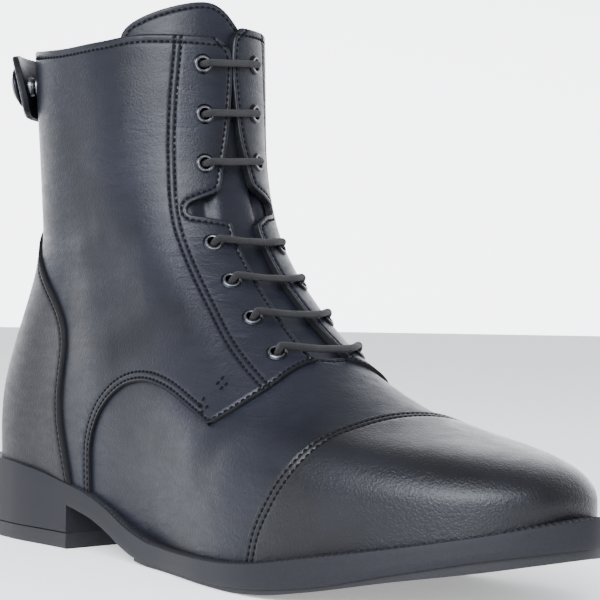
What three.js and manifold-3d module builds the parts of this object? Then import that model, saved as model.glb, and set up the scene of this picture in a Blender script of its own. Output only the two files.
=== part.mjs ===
// A black leather lace-up jodhpur boot for the right foot, empty and standing on its sole.
// Units are millimetres. X runs from heel to toe, Y towards the wearer's left, Z up from the floor.
// The boot is drawn from the rearmost point of its sole, and then moved so that the origin is on
// the floor under the middle of the heel.

import * as THREE from "three";
import { mergeVertices } from "three/addons/utils/BufferGeometryUtils.js";
import Module from "manifold-3d";

const wasm = await Module();
wasm.setup();

// Driving sizes of the boot
const soleLength = 307;
const ballWidth = 105;
const bootHeight = 205;
const heelHeight = 33;
const heelLength = 78.5;

// Leather thicknesses and the clearance between pieces that touch
const seat = 0.3;
const vampWall = 1.5;
const overlay = 1.4;
const counterThick = 1.4;
const tongueThick = 2.0;
const insoleThick = 3.0;

// Sizes of the moulded sole
const topLift = 6.0;
const weltHeight = 2.4;
const grooveHeight = 0.8;
const grooveDepth = 0.7;
const treadInset = 1.8;
const lugDepth = 0.8;
const lugWidth = 2.4;
const lugPitch = 16;
const treadLugs = 9;
const heelLugs = 4;
const lugMargin = 7;

// Eyelets and lace
const eyeletFlange = 7.8;
const eyeletHole = 4.4;
const eyeletMetal = 0.45;
const eyeletRise = 0.9;
const laceThick = 2.7;
const laceSteps = 12;

// Zip, strap and snap at the back of the shaft
const zipWidth = 7.0;
const zipBottom = 62;
const chainWidth = 3.4;
const strapHeight = 26;
const strapThick = 2.6;
const strapUp = 0.845;
const strapStandLow = 1.0;
const strapStandHigh = 5.5;
const snapCap = 16;
const snapDome = 3.0;
const snapSocket = 9;
const snapSocketGap = 1.2;

// The left facing and its collar stand a little higher than the right.
const leftRise = 2.2;

const leather = { color: 0x26272c, roughness: 0.42, metalness: 0 };
const innerLeather = { color: 0x1d1d20, roughness: 0.7, metalness: 0 };
const rubber = { color: 0x3a3a3f, roughness: 0.75, metalness: 0 };
const darkMetal = { color: 0x4a4a50, roughness: 0.3, metalness: 0.9 };
const brightMetal = { color: 0xb4b6ba, roughness: 0.25, metalness: 1 };
const lacing = { color: 0x1b1b1f, roughness: 0.85, metalness: 0 };

// The form is a stack of tilted loops from under the feather edge to above the collar, one row each.
// frontX and backX are shares of soleLength, frontZ and backZ of bootHeight.
// heelAt, waistAt and ballAt are shares of the way from the loop's back to its front.
// Half widths and tipShift are shares of ballWidth. A bluntness of 2 is an ellipse, more is squarer.
const loops = [
  { frontX: 0.978, frontZ: 0.02, backX: 0.014, backZ: 0.02, heelAt: 0.125, heelHalf: 0.275, waistAt: 0.38, waistRight: 0.3, waistLeft: 0.228, ballAt: 0.675, ballRight: 0.5, ballLeft: 0.388, tipShift: 0.085, bluntness: 2.3 },
  { frontX: 0.98, frontZ: 0.14, backX: 0.013, backZ: 0.16, heelAt: 0.125, heelHalf: 0.282, waistAt: 0.38, waistRight: 0.322, waistLeft: 0.252, ballAt: 0.675, ballRight: 0.508, ballLeft: 0.394, tipShift: 0.085, bluntness: 2.3 },
  { frontX: 0.976, frontZ: 0.195, backX: 0.01, backZ: 0.24, heelAt: 0.135, heelHalf: 0.288, waistAt: 0.38, waistRight: 0.352, waistLeft: 0.285, ballAt: 0.665, ballRight: 0.495, ballLeft: 0.39, tipShift: 0.08, bluntness: 2.3 },
  { frontX: 0.928, frontZ: 0.236, backX: 0.014, backZ: 0.31, heelAt: 0.15, heelHalf: 0.286, waistAt: 0.39, waistRight: 0.365, waistLeft: 0.31, ballAt: 0.65, ballRight: 0.452, ballLeft: 0.374, tipShift: 0.065, bluntness: 2.2 },
  { frontX: 0.797, frontZ: 0.279, backX: 0.037, backZ: 0.39, heelAt: 0.17, heelHalf: 0.284, waistAt: 0.41, waistRight: 0.362, waistLeft: 0.322, ballAt: 0.62, ballRight: 0.385, ballLeft: 0.345, tipShift: 0.03, bluntness: 2.2 },
  { frontX: 0.668, frontZ: 0.36, backX: 0.067, backZ: 0.47, heelAt: 0.2, heelHalf: 0.284, waistAt: 0.44, waistRight: 0.345, waistLeft: 0.325, ballAt: 0.62, ballRight: 0.345, ballLeft: 0.33, tipShift: 0.0, bluntness: 2.3 },
  { frontX: 0.57, frontZ: 0.46, backX: 0.096, backZ: 0.56, heelAt: 0.27, heelHalf: 0.295, waistAt: 0.45, waistRight: 0.325, waistLeft: 0.32, ballAt: 0.63, ballRight: 0.325, ballLeft: 0.32, tipShift: 0.0, bluntness: 2.35 },
  { frontX: 0.49, frontZ: 0.585, backX: 0.106, backZ: 0.65, heelAt: 0.37, heelHalf: 0.325, waistAt: 0.46, waistRight: 0.33, waistLeft: 0.33, ballAt: 0.62, ballRight: 0.33, ballLeft: 0.33, tipShift: 0.0, bluntness: 2.3 },
  { frontX: 0.457, frontZ: 0.72, backX: 0.107, backZ: 0.75, heelAt: 0.42, heelHalf: 0.35, waistAt: 0.48, waistRight: 0.35, waistLeft: 0.35, ballAt: 0.58, ballRight: 0.35, ballLeft: 0.35, tipShift: 0.0, bluntness: 2.15 },
  { frontX: 0.449, frontZ: 0.87, backX: 0.102, backZ: 0.88, heelAt: 0.42, heelHalf: 0.365, waistAt: 0.48, waistRight: 0.365, waistLeft: 0.365, ballAt: 0.56, ballRight: 0.365, ballLeft: 0.365, tipShift: 0.0, bluntness: 2.1 },
  { frontX: 0.444, frontZ: 1.0, backX: 0.099, backZ: 1.0, heelAt: 0.42, heelHalf: 0.375, waistAt: 0.48, waistRight: 0.375, waistLeft: 0.375, ballAt: 0.56, ballRight: 0.375, ballLeft: 0.375, tipShift: 0.0, bluntness: 2.1 },
  { frontX: 0.43, frontZ: 1.1, backX: 0.097, backZ: 1.1, heelAt: 0.42, heelHalf: 0.375, waistAt: 0.48, waistRight: 0.375, waistLeft: 0.375, ballAt: 0.56, ballRight: 0.375, ballLeft: 0.375, tipShift: 0.0, bluntness: 2.1 },
];
const columns = Object.keys(loops[0]);

// The outline of the sole from above: shares of soleLength and of ballWidth, right is the outer side.
const soleOutline = [
  { at: 0.0, right: 0.0, left: 0.0 },
  { at: 0.012, right: 0.155, left: 0.155 },
  { at: 0.05, right: 0.26, left: 0.26 },
  { at: 0.12, right: 0.308, left: 0.305 },
  { at: 0.24, right: 0.315, left: 0.298 },
  { at: 0.36, right: 0.333, left: 0.262 },
  { at: 0.48, right: 0.39, left: 0.278 },
  { at: 0.6, right: 0.475, left: 0.385 },
  { at: 0.69, right: 0.508, left: 0.458 },
  { at: 0.78, right: 0.478, left: 0.47 },
  { at: 0.86, right: 0.388, left: 0.432 },
  { at: 0.93, right: 0.25, left: 0.352 },
  { at: 0.975, right: 0.105, left: 0.268 },
  { at: 1.0, right: -0.09, left: 0.09 },
];

// The sole from the side: shares of soleLength and heelHeight.
const soleSide = [
  { at: 0.0, top: 1.0, under: 0.52 },
  { at: 0.11, top: 0.976, under: 0.52 },
  { at: 0.175, top: 0.915, under: 0.52 },
  { at: 0.24, top: 0.812, under: 0.52 },
  { at: 0.3, top: 0.703, under: 0.43 },
  { at: 0.35, top: 0.555, under: 0.28 },
  { at: 0.385, top: 0.43, under: 0.15 },
  { at: 0.42, top: 0.342, under: 0.07 },
  { at: 0.46, top: 0.285, under: 0.052 },
  { at: 0.52, top: 0.268, under: 0.052 },
  { at: 0.61, top: 0.285, under: 0.052 },
  { at: 0.68, top: 0.333, under: 0.08 },
  { at: 0.77, top: 0.475, under: 0.18 },
  { at: 0.865, top: 0.64, under: 0.378 },
  { at: 0.94, top: 0.79, under: 0.54 },
  { at: 1.0, top: 0.94, under: 0.65 },
];
const treadSide = [
  { at: 0.41, under: 0.025 },
  { at: 0.445, under: 0.0 },
  { at: 0.63, under: 0.0 },
  { at: 0.7, under: 0.035 },
  { at: 0.77, under: 0.133 },
  { at: 0.865, under: 0.31 },
  { at: 0.94, under: 0.435 },
  { at: 1.0, under: 0.55 },
];

// Panel edges from the side, as shares of soleLength and bootHeight.
const quarterEdge = [
  { at: 0.64, up: 0.46 },
  { at: 0.641, up: 0.37 },
  { at: 0.634, up: 0.335 },
  { at: 0.61, up: 0.3 },
  { at: 0.583, up: 0.268 },
  { at: 0.535, up: 0.295 },
  { at: 0.485, up: 0.322 },
  { at: 0.44, up: 0.332 },
  { at: 0.402, up: 0.32 },
  { at: 0.366, up: 0.283 },
  { at: 0.34, up: 0.24 },
  { at: 0.326, up: 0.19 },
  { at: 0.32, up: 0.12 },
];
const counterEdge = [
  { at: 0.03, up: 0.75 },
  { at: 0.1, up: 0.675 },
  { at: 0.13, up: 0.615 },
  { at: 0.165, up: 0.555 },
  { at: 0.207, up: 0.495 },
  { at: 0.239, up: 0.437 },
  { at: 0.249, up: 0.388 },
  { at: 0.245, up: 0.34 },
  { at: 0.241, up: 0.295 },
  { at: 0.243, up: 0.25 },
  { at: 0.248, up: 0.21 },
  { at: 0.264, up: 0.1 },
];
const capEdge = [
  { at: 0.66, up: 0.0 },
  { at: 0.668, up: 0.06 },
  { at: 0.678, up: 0.11 },
  { at: 0.7, up: 0.168 },
  { at: 0.724, up: 0.222 },
  { at: 0.739, up: 0.26 },
  { at: 0.755, up: 0.3 },
  { at: 0.77, up: 0.36 },
];
const collarEdge = [
  { at: -0.05, up: 0.995 },
  { at: 0.12, up: 0.982 },
  { at: 0.19, up: 0.966 },
  { at: 0.26, up: 0.96 },
  { at: 0.33, up: 0.963 },
  { at: 0.4, up: 0.972 },
  { at: 0.5, up: 0.966 },
];

// The throat from the front: height as a share of bootHeight, half gap as a share of ballWidth.
// The wide rows are the flex notch between the upper and the lower facing.
const throat = [
  { up: 0.388, out: 0.085 },
  { up: 0.41, out: 0.083 },
  { up: 0.47, out: 0.07 },
  { up: 0.54, out: 0.062 },
  { up: 0.626, out: 0.062 },
  { up: 0.637, out: 0.196 },
  { up: 0.645, out: 0.206 },
  { up: 0.655, out: 0.2 },
  { up: 0.688, out: 0.078 },
  { up: 0.73, out: 0.055 },
  { up: 0.78, out: 0.03 },
  { up: 0.84, out: 0.012 },
  { up: 0.92, out: 0.008 },
  { up: 0.945, out: 0.018 },
  { up: 0.962, out: 0.05 },
  { up: 1.02, out: 0.14 },
];

// The tongue from the front, in the same shares. Its top leans to the right.
const tongueSide = [
  { up: 0.34, right: 0.14, left: 0.14 },
  { up: 0.37, right: 0.21, left: 0.21 },
  { up: 0.6, right: 0.25, left: 0.25 },
  { up: 0.9, right: 0.3, left: 0.25 },
  { up: 0.96, right: 0.3, left: 0.17 },
  { up: 0.985, right: 0.3, left: 0.07 },
  { up: 1.01, right: 0.27, left: 0.045 },
  { up: 1.03, right: 0.19, left: 0.005 },
  { up: 1.042, right: 0.11, left: -0.03 },
];

// Eyelet centres from the front, in the same shares, from the collar down.
const eyelets = [
  { up: 0.918, out: 0.124 },
  { up: 0.825, out: 0.12 },
  { up: 0.733, out: 0.126 },
  { up: 0.585, out: 0.158 },
  { up: 0.516, out: 0.163 },
  { up: 0.451, out: 0.175 },
  { up: 0.391, out: 0.19 },
];

const smooth = (t) => t * t * (3 - 2 * t);
const clamp = (v, low, high) => Math.min(high, Math.max(low, v));

// A smooth value of one column between the rows of the form, by a cubic through its neighbours.
function columnAt(column, level) {
  const row = clamp(Math.floor(level), 0, loops.length - 2);
  const value = (r) => loops[clamp(r, 0, loops.length - 1)][column];
  const [a, b, c, d] = [value(row - 1), value(row), value(row + 1), value(row + 2)];
  const t = level - row;
  return b + 0.5 * t * (c - a + t * (2 * a - 5 * b + 4 * c - d + t * (3 * (b - c) + d - a)));
}

// The same, evened out over the rows beside it where the column isn't the front or back line itself.
const lineColumns = ["frontX", "frontZ", "backX", "backZ"];
const easing = 0.6;
function easedAt(column, level) {
  if (lineColumns.includes(column)) return columnAt(column, level);
  const [below, above] = [Math.max(level - easing, 0), Math.min(level + easing, loops.length - 1)];
  return (columnAt(column, below) + 2 * columnAt(column, level) + columnAt(column, above)) / 4;
}

// A value of a side table at a share of the length, by a cubic that never overshoots its rows.
function tableAt(rows, column, at) {
  const slope = (r) => (rows[r + 1][column] - rows[r][column]) / (rows[r + 1].at - rows[r].at);
  const tangent = (r) => {
    const [a, b] = [slope(clamp(r - 1, 0, rows.length - 2)), slope(clamp(r, 0, rows.length - 2))];
    return a * b > 0 ? (2 * a * b) / (a + b) : 0;
  };
  let r = 0;
  while (r < rows.length - 2 && rows[r + 1].at < at) r++;
  const span = rows[r + 1].at - rows[r].at;
  const t = clamp((at - rows[r].at) / span, 0, 1);
  const [from, to] = [rows[r][column], rows[r + 1][column]];
  return from + (to - from) * smooth(t) + span * t * (1 - t) * ((1 - t) * tangent(r) - t * tangent(r + 1));
}

// Half width of a loop on one side, in mm, at a share t of the way from its back to its front.
function halfWidth(row, side, t) {
  const heel = row.heelHalf * ballWidth;
  const waist = (side < 0 ? row.waistRight : row.waistLeft) * ballWidth;
  const ball = (side < 0 ? row.ballRight : row.ballLeft) * ballWidth;
  if (t < row.heelAt) return heel * Math.sqrt(Math.max(0, 1 - (1 - t / row.heelAt) ** 2));
  if (t < row.waistAt) return heel + (waist - heel) * smooth((t - row.heelAt) / (row.waistAt - row.heelAt));
  if (t < row.ballAt) return waist + (ball - waist) * smooth((t - row.waistAt) / (row.ballAt - row.waistAt));
  const u = Math.min(1, (t - row.ballAt) / (1 - row.ballAt));
  return ball * Math.max(0, 1 - u ** row.bluntness) ** (1 / row.bluntness);
}

const aroundSteps = 14;
const endCrowding = 0.5;
const levelSteps = 18;
const fineSteps = 240;

// One side of a loop from back to front, as points evenly spaced along it.
function sideOfLoop(row, side) {
  const back = new THREE.Vector3(row.backX * soleLength, 0, row.backZ * bootHeight);
  const front = new THREE.Vector3(row.frontX * soleLength, 0, row.frontZ * bootHeight);
  const fine = [];
  for (let i = 0; i <= fineSteps; i++) {
    const t = (1 - Math.cos((Math.PI * i) / fineSteps)) / 2;
    const p = back.clone().lerp(front, t);
    const drift = row.tipShift * ballWidth * smooth(clamp((t - row.waistAt) / (1 - row.waistAt), 0, 1));
    p.y = side * halfWidth(row, side, t) + drift;
    fine.push(p);
  }
  const length = [0];
  for (let i = 1; i < fine.length; i++) length.push(length[i - 1] + fine[i].distanceTo(fine[i - 1]));
  const points = [];
  for (let i = 0, j = 0; i <= aroundSteps; i++) {
    const share = i / aroundSteps;
    const want = length[fineSteps] * (share - (endCrowding * Math.sin(2 * Math.PI * share)) / (2 * Math.PI));
    while (j < fineSteps - 1 && length[j + 1] < want) j++;
    const f = (want - length[j]) / (length[j + 1] - length[j]);
    points.push(fine[j].clone().lerp(fine[j + 1], clamp(f, 0, 1)));
  }
  return points;
}

// The whole surface: each ring goes from the back up the right side to the front and back on the left.
const rings = [];
for (let k = 0; k <= levelSteps; k++) {
  const level = ((loops.length - 1) * k) / levelSteps;
  const row = Object.fromEntries(columns.map((c) => [c, easedAt(c, level)]));
  rings.push([...sideOfLoop(row, -1), ...sideOfLoop(row, 1).slice(1, -1).reverse()]);
}
const ringCount = rings[0].length;
const normals = rings.map((ring, k) =>
  ring.map((p, i) => {
    const along = ring[(i + 1) % ringCount].clone().sub(ring[(i - 1 + ringCount) % ringCount]);
    const up = rings[Math.min(levelSteps, k + 1)][i].clone().sub(rings[Math.max(0, k - 1)][i]);
    return along.cross(up).normalize();
  }),
);
const skinTriangles = [];
for (let k = 0; k < levelSteps; k++) {
  for (let i = 0; i < ringCount; i++) {
    const j = (i + 1) % ringCount;
    const [a, b, c, d] = [k * ringCount + i, k * ringCount + j, (k + 1) * ringCount + j, (k + 1) * ringCount + i];
    skinTriangles.push([a, b, c], [a, c, d]);
  }
}

function solidFrom(vertices, triangles) {
  return new wasm.Manifold(
    new wasm.Mesh({
      numProp: 3,
      vertProperties: new Float32Array(vertices.flatMap((v) => v.toArray())),
      triVerts: new Uint32Array(triangles.flat()),
    }),
  );
}

// A closed solid of the form, grown outwards by a distance that may differ from point to point.
function form(grow) {
  const distance = typeof grow === "function" ? grow : () => grow;
  const vertices = [];
  rings.forEach((ring, k) =>
    ring.forEach((p, i) => vertices.push(p.clone().addScaledVector(normals[k][i], distance(p)))),
  );
  const triangles = [...skinTriangles];
  for (const k of [0, levelSteps]) {
    const middle = vertices.length;
    const ring = vertices.slice(k * ringCount, (k + 1) * ringCount);
    vertices.push(ring.reduce((s, p) => s.add(p), new THREE.Vector3()).divideScalar(ringCount));
    for (let i = 0; i < ringCount; i++) {
      const [a, b] = [k * ringCount + i, k * ringCount + ((i + 1) % ringCount)];
      triangles.push(k === 0 ? [middle, b, a] : [middle, a, b]);
    }
  }
  return solidFrom(vertices, triangles);
}

// Where a straight line first meets the form, with the smooth normal there.
function onForm(origin, direction) {
  const ray = new THREE.Ray(origin, direction);
  const skin = rings.flat();
  const skinNormals = normals.flat();
  let best = null;
  for (const [a, b, c] of skinTriangles) {
    const hit = ray.intersectTriangle(skin[a], skin[b], skin[c], true, new THREE.Vector3());
    if (!hit || (best && hit.distanceTo(origin) > best.point.distanceTo(origin))) continue;
    const weights = THREE.Triangle.getBarycoord(hit, skin[a], skin[b], skin[c], new THREE.Vector3());
    const normal = new THREE.Vector3();
    [a, b, c].forEach((v, n) => normal.addScaledVector(skinNormals[v], weights.getComponent(n)));
    best = { point: hit, normal: normal.normalize() };
  }
  return best;
}
const farAway = 2 * soleLength;
const fromFront = (y, z) => onForm(new THREE.Vector3(farAway, y, z), new THREE.Vector3(-1, 0, 0));

function solidOf(geometry) {
  geometry.deleteAttribute("normal");
  geometry.deleteAttribute("uv");
  const merged = mergeVertices(geometry, 1e-5);
  return new wasm.Manifold(
    new wasm.Mesh({
      numProp: 3,
      vertProperties: new Float32Array(merged.attributes.position.array),
      triVerts: new Uint32Array(merged.index.array),
    }),
  );
}

// Prisms whose section is drawn from the side, from above or from the front.
const drawnFrom = {
  side: [new THREE.Vector3(1, 0, 0), new THREE.Vector3(0, 0, 1), new THREE.Vector3(0, -1, 0)],
  above: [new THREE.Vector3(1, 0, 0), new THREE.Vector3(0, 1, 0), new THREE.Vector3(0, 0, 1)],
  front: [new THREE.Vector3(0, 1, 0), new THREE.Vector3(0, 0, 1), new THREE.Vector3(1, 0, 0)],
};
function prism(view, points, near, far) {
  const shape = new THREE.Shape(points.map(([a, b]) => new THREE.Vector2(a, b)));
  const geometry = new THREE.ExtrudeGeometry(shape, { depth: far - near, bevelEnabled: false });
  geometry.translate(0, 0, near);
  return solidOf(geometry.applyMatrix4(new THREE.Matrix4().makeBasis(...drawnFrom[view])));
}
const sidePrism = (points, right = -farAway, left = farAway) => prism("side", points, -left, -right);

const margin = 20;
const rectangle = (left, right, low, high) => [[left, low], [right, low], [right, high], [left, high]];
const [behind, beyond] = [-margin, soleLength + margin];

// Heights that follow the sole from the side, in straight stretches that every piece shares.
const stretches = 24;
const stations = Array.from({ length: stretches + 1 }, (_, i) => behind + ((beyond - behind) * i) / stretches);
function followed(rows, column) {
  const heights = stations.map((x) => heelHeight * tableAt(rows, column, x / soleLength));
  return (x) => {
    const n = clamp(Math.floor(((x - behind) / (beyond - behind)) * stretches), 0, stretches - 1);
    const t = (x - stations[n]) / (stations[n + 1] - stations[n]);
    return heights[n] + (heights[n + 1] - heights[n]) * t;
  };
}
const soleTopAt = followed(soleSide, "top");
const soleUnderAt = followed(soleSide, "under");
const treadUnderAt = followed(treadSide, "under");

// The region between two such heights, from one place along the sole to another.
function sideBand(low, high, from, to) {
  const xs = [from, ...stations.filter((x) => x > from && x < to), to];
  return sidePrism([...xs.map((x) => [x, low(x)]), ...xs.reverse().map((x) => [x, high(x)])]);
}

// The outline of the sole moved inwards, as a prism over its whole height.
const outlinePoints = (() => {
  const right = soleOutline.map((r) => new THREE.Vector3(r.at * soleLength, -r.right * ballWidth, 0));
  const left = soleOutline.slice(1, -1).map((r) => new THREE.Vector3(r.at * soleLength, r.left * ballWidth, 0));
  const knots = [...right, ...left.reverse()];
  return new THREE.CatmullRomCurve3(knots, true, "centripetal").getPoints(2 * knots.length).slice(0, -1);
})();
function soleBlock(inset, low, high) {
  const count = outlinePoints.length;
  const points = outlinePoints.map((p, i) => {
    const along = outlinePoints[(i + 1) % count].clone().sub(outlinePoints[(i - 1 + count) % count]).normalize();
    return [p.x - along.y * inset, p.y + along.x * inset];
  });
  return prism("above", points, low, high);
}

const boot = new THREE.Group();
function add(name, solid, look) {
  const { vertProperties, triVerts } = solid.getMesh();
  const geometry = new THREE.BufferGeometry()
    .setAttribute("position", new THREE.BufferAttribute(vertProperties, 3))
    .setIndex(new THREE.BufferAttribute(triVerts, 1));
  const mesh = new THREE.Mesh(geometry, new THREE.MeshStandardMaterial(look));
  mesh.name = name;
  boot.add(mesh);
}

// Moulded rubber sole with its heel, a welt lip and a groove under the lip
function makeSole() {
  const lipAt = (x) => soleTopAt(x) - weltHeight;
  const wallAt = (x) => lipAt(x) - grooveHeight;
  const whole = soleBlock(0, -margin, 2 * heelHeight);
  const core = soleBlock(grooveDepth, -margin, 2 * heelHeight);
  const block = sidePrism(rectangle(behind, heelLength, topLift + seat, 0.6 * heelHeight));
  const lower = whole.intersect(sideBand(soleUnderAt, wallAt, behind, beyond).add(block));
  const lip = whole.intersect(sideBand(lipAt, soleTopAt, behind, beyond));
  const inner = core.intersect(sideBand(soleUnderAt, soleTopAt, behind, beyond));
  add("sole_unit", lower.add(lip).add(inner), rubber);
}

// Cross grooves in a wearing face, given as the region above which no groove reaches
function lugGrooves(first, count, reachAt) {
  const field = soleBlock(treadInset + lugMargin, -margin, heelHeight);
  let grooves = null;
  for (let i = 0; i < count; i++) {
    const from = first + i * lugPitch;
    const groove = field.intersect(sideBand(() => -margin, reachAt, from, from + lugWidth));
    grooves = grooves ? grooves.add(groove) : groove;
  }
  return grooves;
}

function makeTread() {
  const rear = treadSide[0].at * soleLength;
  const layer = soleBlock(treadInset, -margin, heelHeight)
    .intersect(sideBand(treadUnderAt, (x) => soleUnderAt(x) - seat, rear, beyond));
  add("tread", layer.subtract(lugGrooves(rear + lugPitch, treadLugs, (x) => treadUnderAt(x) + lugDepth)), rubber);
  const lift = soleBlock(0, 0, topLift).intersect(sidePrism(rectangle(behind, heelLength, -1, heelHeight)));
  add("top_lift", lift.subtract(lugGrooves(0.75 * lugPitch, heelLugs, () => lugDepth)), rubber);
}

const scaled = (rows) => rows.map((r) => [r.at * soleLength, r.up * bootHeight]);
const quarterRegion = () =>
  sidePrism([[beyond, bootHeight], ...scaled(quarterEdge), [behind, 0], [behind, 2 * bootHeight], [beyond, 2 * bootHeight]]);
const counterRegion = () => sidePrism([...scaled(counterEdge), [behind, 0], [behind, scaled(counterEdge)[0][1]]]);
const capRegion = () => sidePrism([...scaled(capEdge), [beyond, capEdge.at(-1).up * bootHeight], [beyond, 0]]);
const belowSole = () => sideBand(() => -margin, (x) => soleTopAt(x) + seat, behind, beyond);

// What lies above the collar, with the left side a little higher towards the front
function aboveCollar() {
  const top = [[beyond, 2 * bootHeight], [behind, 2 * bootHeight]];
  const edge = scaled(collarEdge);
  const raised = edge.map(([x, z]) => [x, z + leftRise * smooth(clamp(x / edge.at(-1)[0], 0, 1))]);
  const front = (line) => [...line, [beyond, line.at(-1)[1]]];
  return sidePrism([...front(edge), ...top], -farAway, 0).add(sidePrism([...front(raised), ...top], 0, farAway));
}

// The open throat between the facings, with its flex notches, drawn from the front
function throatOpening() {
  const right = throat.map((r) => [-r.out * ballWidth, r.up * bootHeight]);
  const left = throat.map((r, n) => [r.out * ballWidth, r.up * bootHeight + (n > 4 ? leftRise : 0)]);
  return prism("front", [...right, ...left.reverse()], soleLength / 3, beyond);
}

const atBack = (points) => prism("front", points, behind, soleLength / 4);
const zipSlot = (width, low) => atBack(rectangle(-width / 2, width / 2, low, 2 * bootHeight));

// The places of the eyelets, with the direction that each one faces
const eyeletPlaces = eyelets.flatMap((row, n) =>
  [-1, 1].map((side) => {
    const rise = side > 0 && row.up > throat[6].up ? leftRise : 0;
    const name = `eyelet_${side < 0 ? "right" : "left"}_${n + 1}`;
    return { name, row: n + 1, side, ...fromFront(side * row.out * ballWidth, row.up * bootHeight + rise) };
  }),
);
const eyeletFrame = ({ point, normal }) =>
  new THREE.Matrix4()
    .makeRotationFromQuaternion(new THREE.Quaternion().setFromUnitVectors(new THREE.Vector3(0, 1, 0), normal))
    .setPosition(point);
const ringSides = 8;
const barrel = eyeletHole / 2 + eyeletMetal;
const wholeWall = overlay + vampWall;

function makeUpper() {
  const outer = form(-overlay).add(form(0).intersect(quarterRegion()));
  let upper = outer.subtract(form(-wholeWall)).subtract(belowSole()).subtract(aboveCollar());
  upper = upper.subtract(throatOpening()).subtract(zipSlot(zipWidth, zipBottom));
  for (const place of eyeletPlaces) {
    const drill = new THREE.CylinderGeometry(barrel + seat, barrel + seat, 4 * wholeWall, ringSides);
    upper = upper.subtract(solidOf(drill.applyMatrix4(eyeletFrame(place))));
  }
  add("upper", upper, leather);
}

function makeOverlays() {
  const cap = form(0).subtract(form(-overlay + seat)).intersect(capRegion()).subtract(belowSole());
  add("toe_cap", cap, leather);
  const counter = form(counterThick).subtract(form(seat)).intersect(counterRegion()).subtract(belowSole());
  const split = counter.subtract(zipSlot(zipWidth, zipBottom));
  const half = (side) => sidePrism(rectangle(behind, beyond, -margin, farAway), side < 0 ? -farAway : seat / 2, side < 0 ? -seat / 2 : farAway);
  add("counter_right", split.intersect(half(-1)), leather);
  add("counter_left", split.intersect(half(1)), leather);
}

function makeInside() {
  const lastForm = form(-wholeWall - seat);
  const floor = sideBand((x) => soleTopAt(x) + seat, (x) => soleTopAt(x) + seat + insoleThick, behind, beyond);
  add("insole", lastForm.intersect(floor), innerLeather);
  const right = tongueSide.map((r) => [-r.right * ballWidth, r.up * bootHeight]);
  const left = tongueSide.map((r) => [r.left * ballWidth, r.up * bootHeight]);
  const sheet = lastForm.subtract(form(-wholeWall - seat - tongueThick));
  add("tongue", sheet.intersect(prism("front", [...right, ...left.reverse()], soleLength / 3, beyond)), leather);
}

// A rolled metal ring with its barrel through the leather
function makeEyelets() {
  const [inner, outer] = [eyeletHole / 2, eyeletFlange / 2];
  const profile = [
    [inner, -wholeWall + seat],
    [barrel, -wholeWall + seat],
    [barrel, seat],
    [outer, seat],
    [outer, seat + eyeletMetal],
    [inner, eyeletRise],
    [inner, -wholeWall + seat],
  ].map(([r, h]) => new THREE.Vector2(r, h));
  for (const place of eyeletPlaces) {
    const ring = new THREE.LatheGeometry(profile, ringSides).applyMatrix4(eyeletFrame(place));
    add(place.name, solidOf(ring), darkMetal);
  }
}

// One bar of lace across each pair of eyelets, with its ends down in the holes
function makeLace() {
  const radius = laceThick / 2;
  const over = eyeletRise + 2 * seat + radius;
  const circle = Array.from({ length: 8 }, (_, i) => (2 * Math.PI * i) / 8);
  const section = new THREE.Shape(circle.map((a) => new THREE.Vector2(radius * Math.cos(a), radius * Math.sin(a))));
  for (let row = 1; row <= eyelets.length; row++) {
    const [right, left] = eyeletPlaces.filter((place) => place.row === row);
    const end = (place, other) => {
      const inwards = other.point.clone().sub(place.point).projectOnPlane(place.normal).normalize();
      const along = (height, shift) =>
        place.point.clone().addScaledVector(place.normal, height).addScaledVector(inwards, shift * radius);
      return [along(seat - wholeWall, 0), along(0.6 * over, 0), along(1.05 * over, 0.9)];
    };
    const bridge = [0.6, 0.3, 0, -0.3, -0.6].map((share) => {
      const across = right.point.clone().lerp(left.point, (1 - share) / 2);
      const under = fromFront(across.y, across.z);
      return under.point.addScaledVector(under.normal, Math.abs(share) > 0.5 ? over : radius + 2 * seat);
    });
    const path = new THREE.CatmullRomCurve3([...end(right, left), ...bridge, ...end(left, right).reverse()], false, "centripetal");
    const bar = new THREE.ExtrudeGeometry(section, { steps: laceSteps, bevelEnabled: false, extrudePath: path });
    add(`lace_bar_${row}`, solidOf(bar), lacing);
  }
}

// The closed zip in its slot at the back: tape, chain and slider
function makeZip() {
  const slot = zipSlot(zipWidth - 2 * seat, zipBottom + seat);
  const tape = form(-overlay).subtract(form(-wholeWall)).intersect(slot).subtract(aboveCollar());
  add("zip_tape", tape, innerLeather);
  const chain = form(-seat).subtract(form(-overlay + seat)).intersect(zipSlot(chainWidth, zipBottom + 2 * seat));
  const slider = { low: 0.9 * bootHeight, high: 0.955 * bootHeight };
  const capped = chain.intersect(sidePrism(rectangle(behind, beyond, 0, slider.low - seat)));
  add("zip_chain", capped, darkMetal);
  const half = zipWidth / 2 - seat;
  const block = form(overlay / 2).subtract(form(-overlay + seat)).intersect(
    atBack([[-half, slider.low], [half, slider.low], [half * 0.7, slider.high], [-half * 0.7, slider.high]]),
  );
  add("zip_slider", block, darkMetal);
}

// The strap over the top of the zip: sewn on the left, standing off to its snap on the right
const strapLow = strapUp * bootHeight;
const [strapSewn, strapEnd] = [0.24 * ballWidth, -0.31 * ballWidth];
function strapLift(p) {
  const across = smooth(clamp((strapSewn - p.y) / (strapSewn - strapEnd), 0, 1));
  const up = clamp((p.z - strapLow) / strapHeight, 0, 1);
  return overlay + seat + across * (strapStandLow + (strapStandHigh - strapStandLow) * up);
}

function makeStrap() {
  const [low, high, corner] = [strapLow, strapLow + strapHeight, strapHeight / 4];
  const sheet = form((p) => strapLift(p) + strapThick).subtract(form(strapLift));
  const end = [[strapEnd, high - corner], [strapEnd, low + corner], [strapEnd + corner, low]];
  add("strap", sheet.intersect(atBack([...end, [strapSewn, low], [strapSewn, high], [strapEnd + corner, high]])), leather);
}

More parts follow.
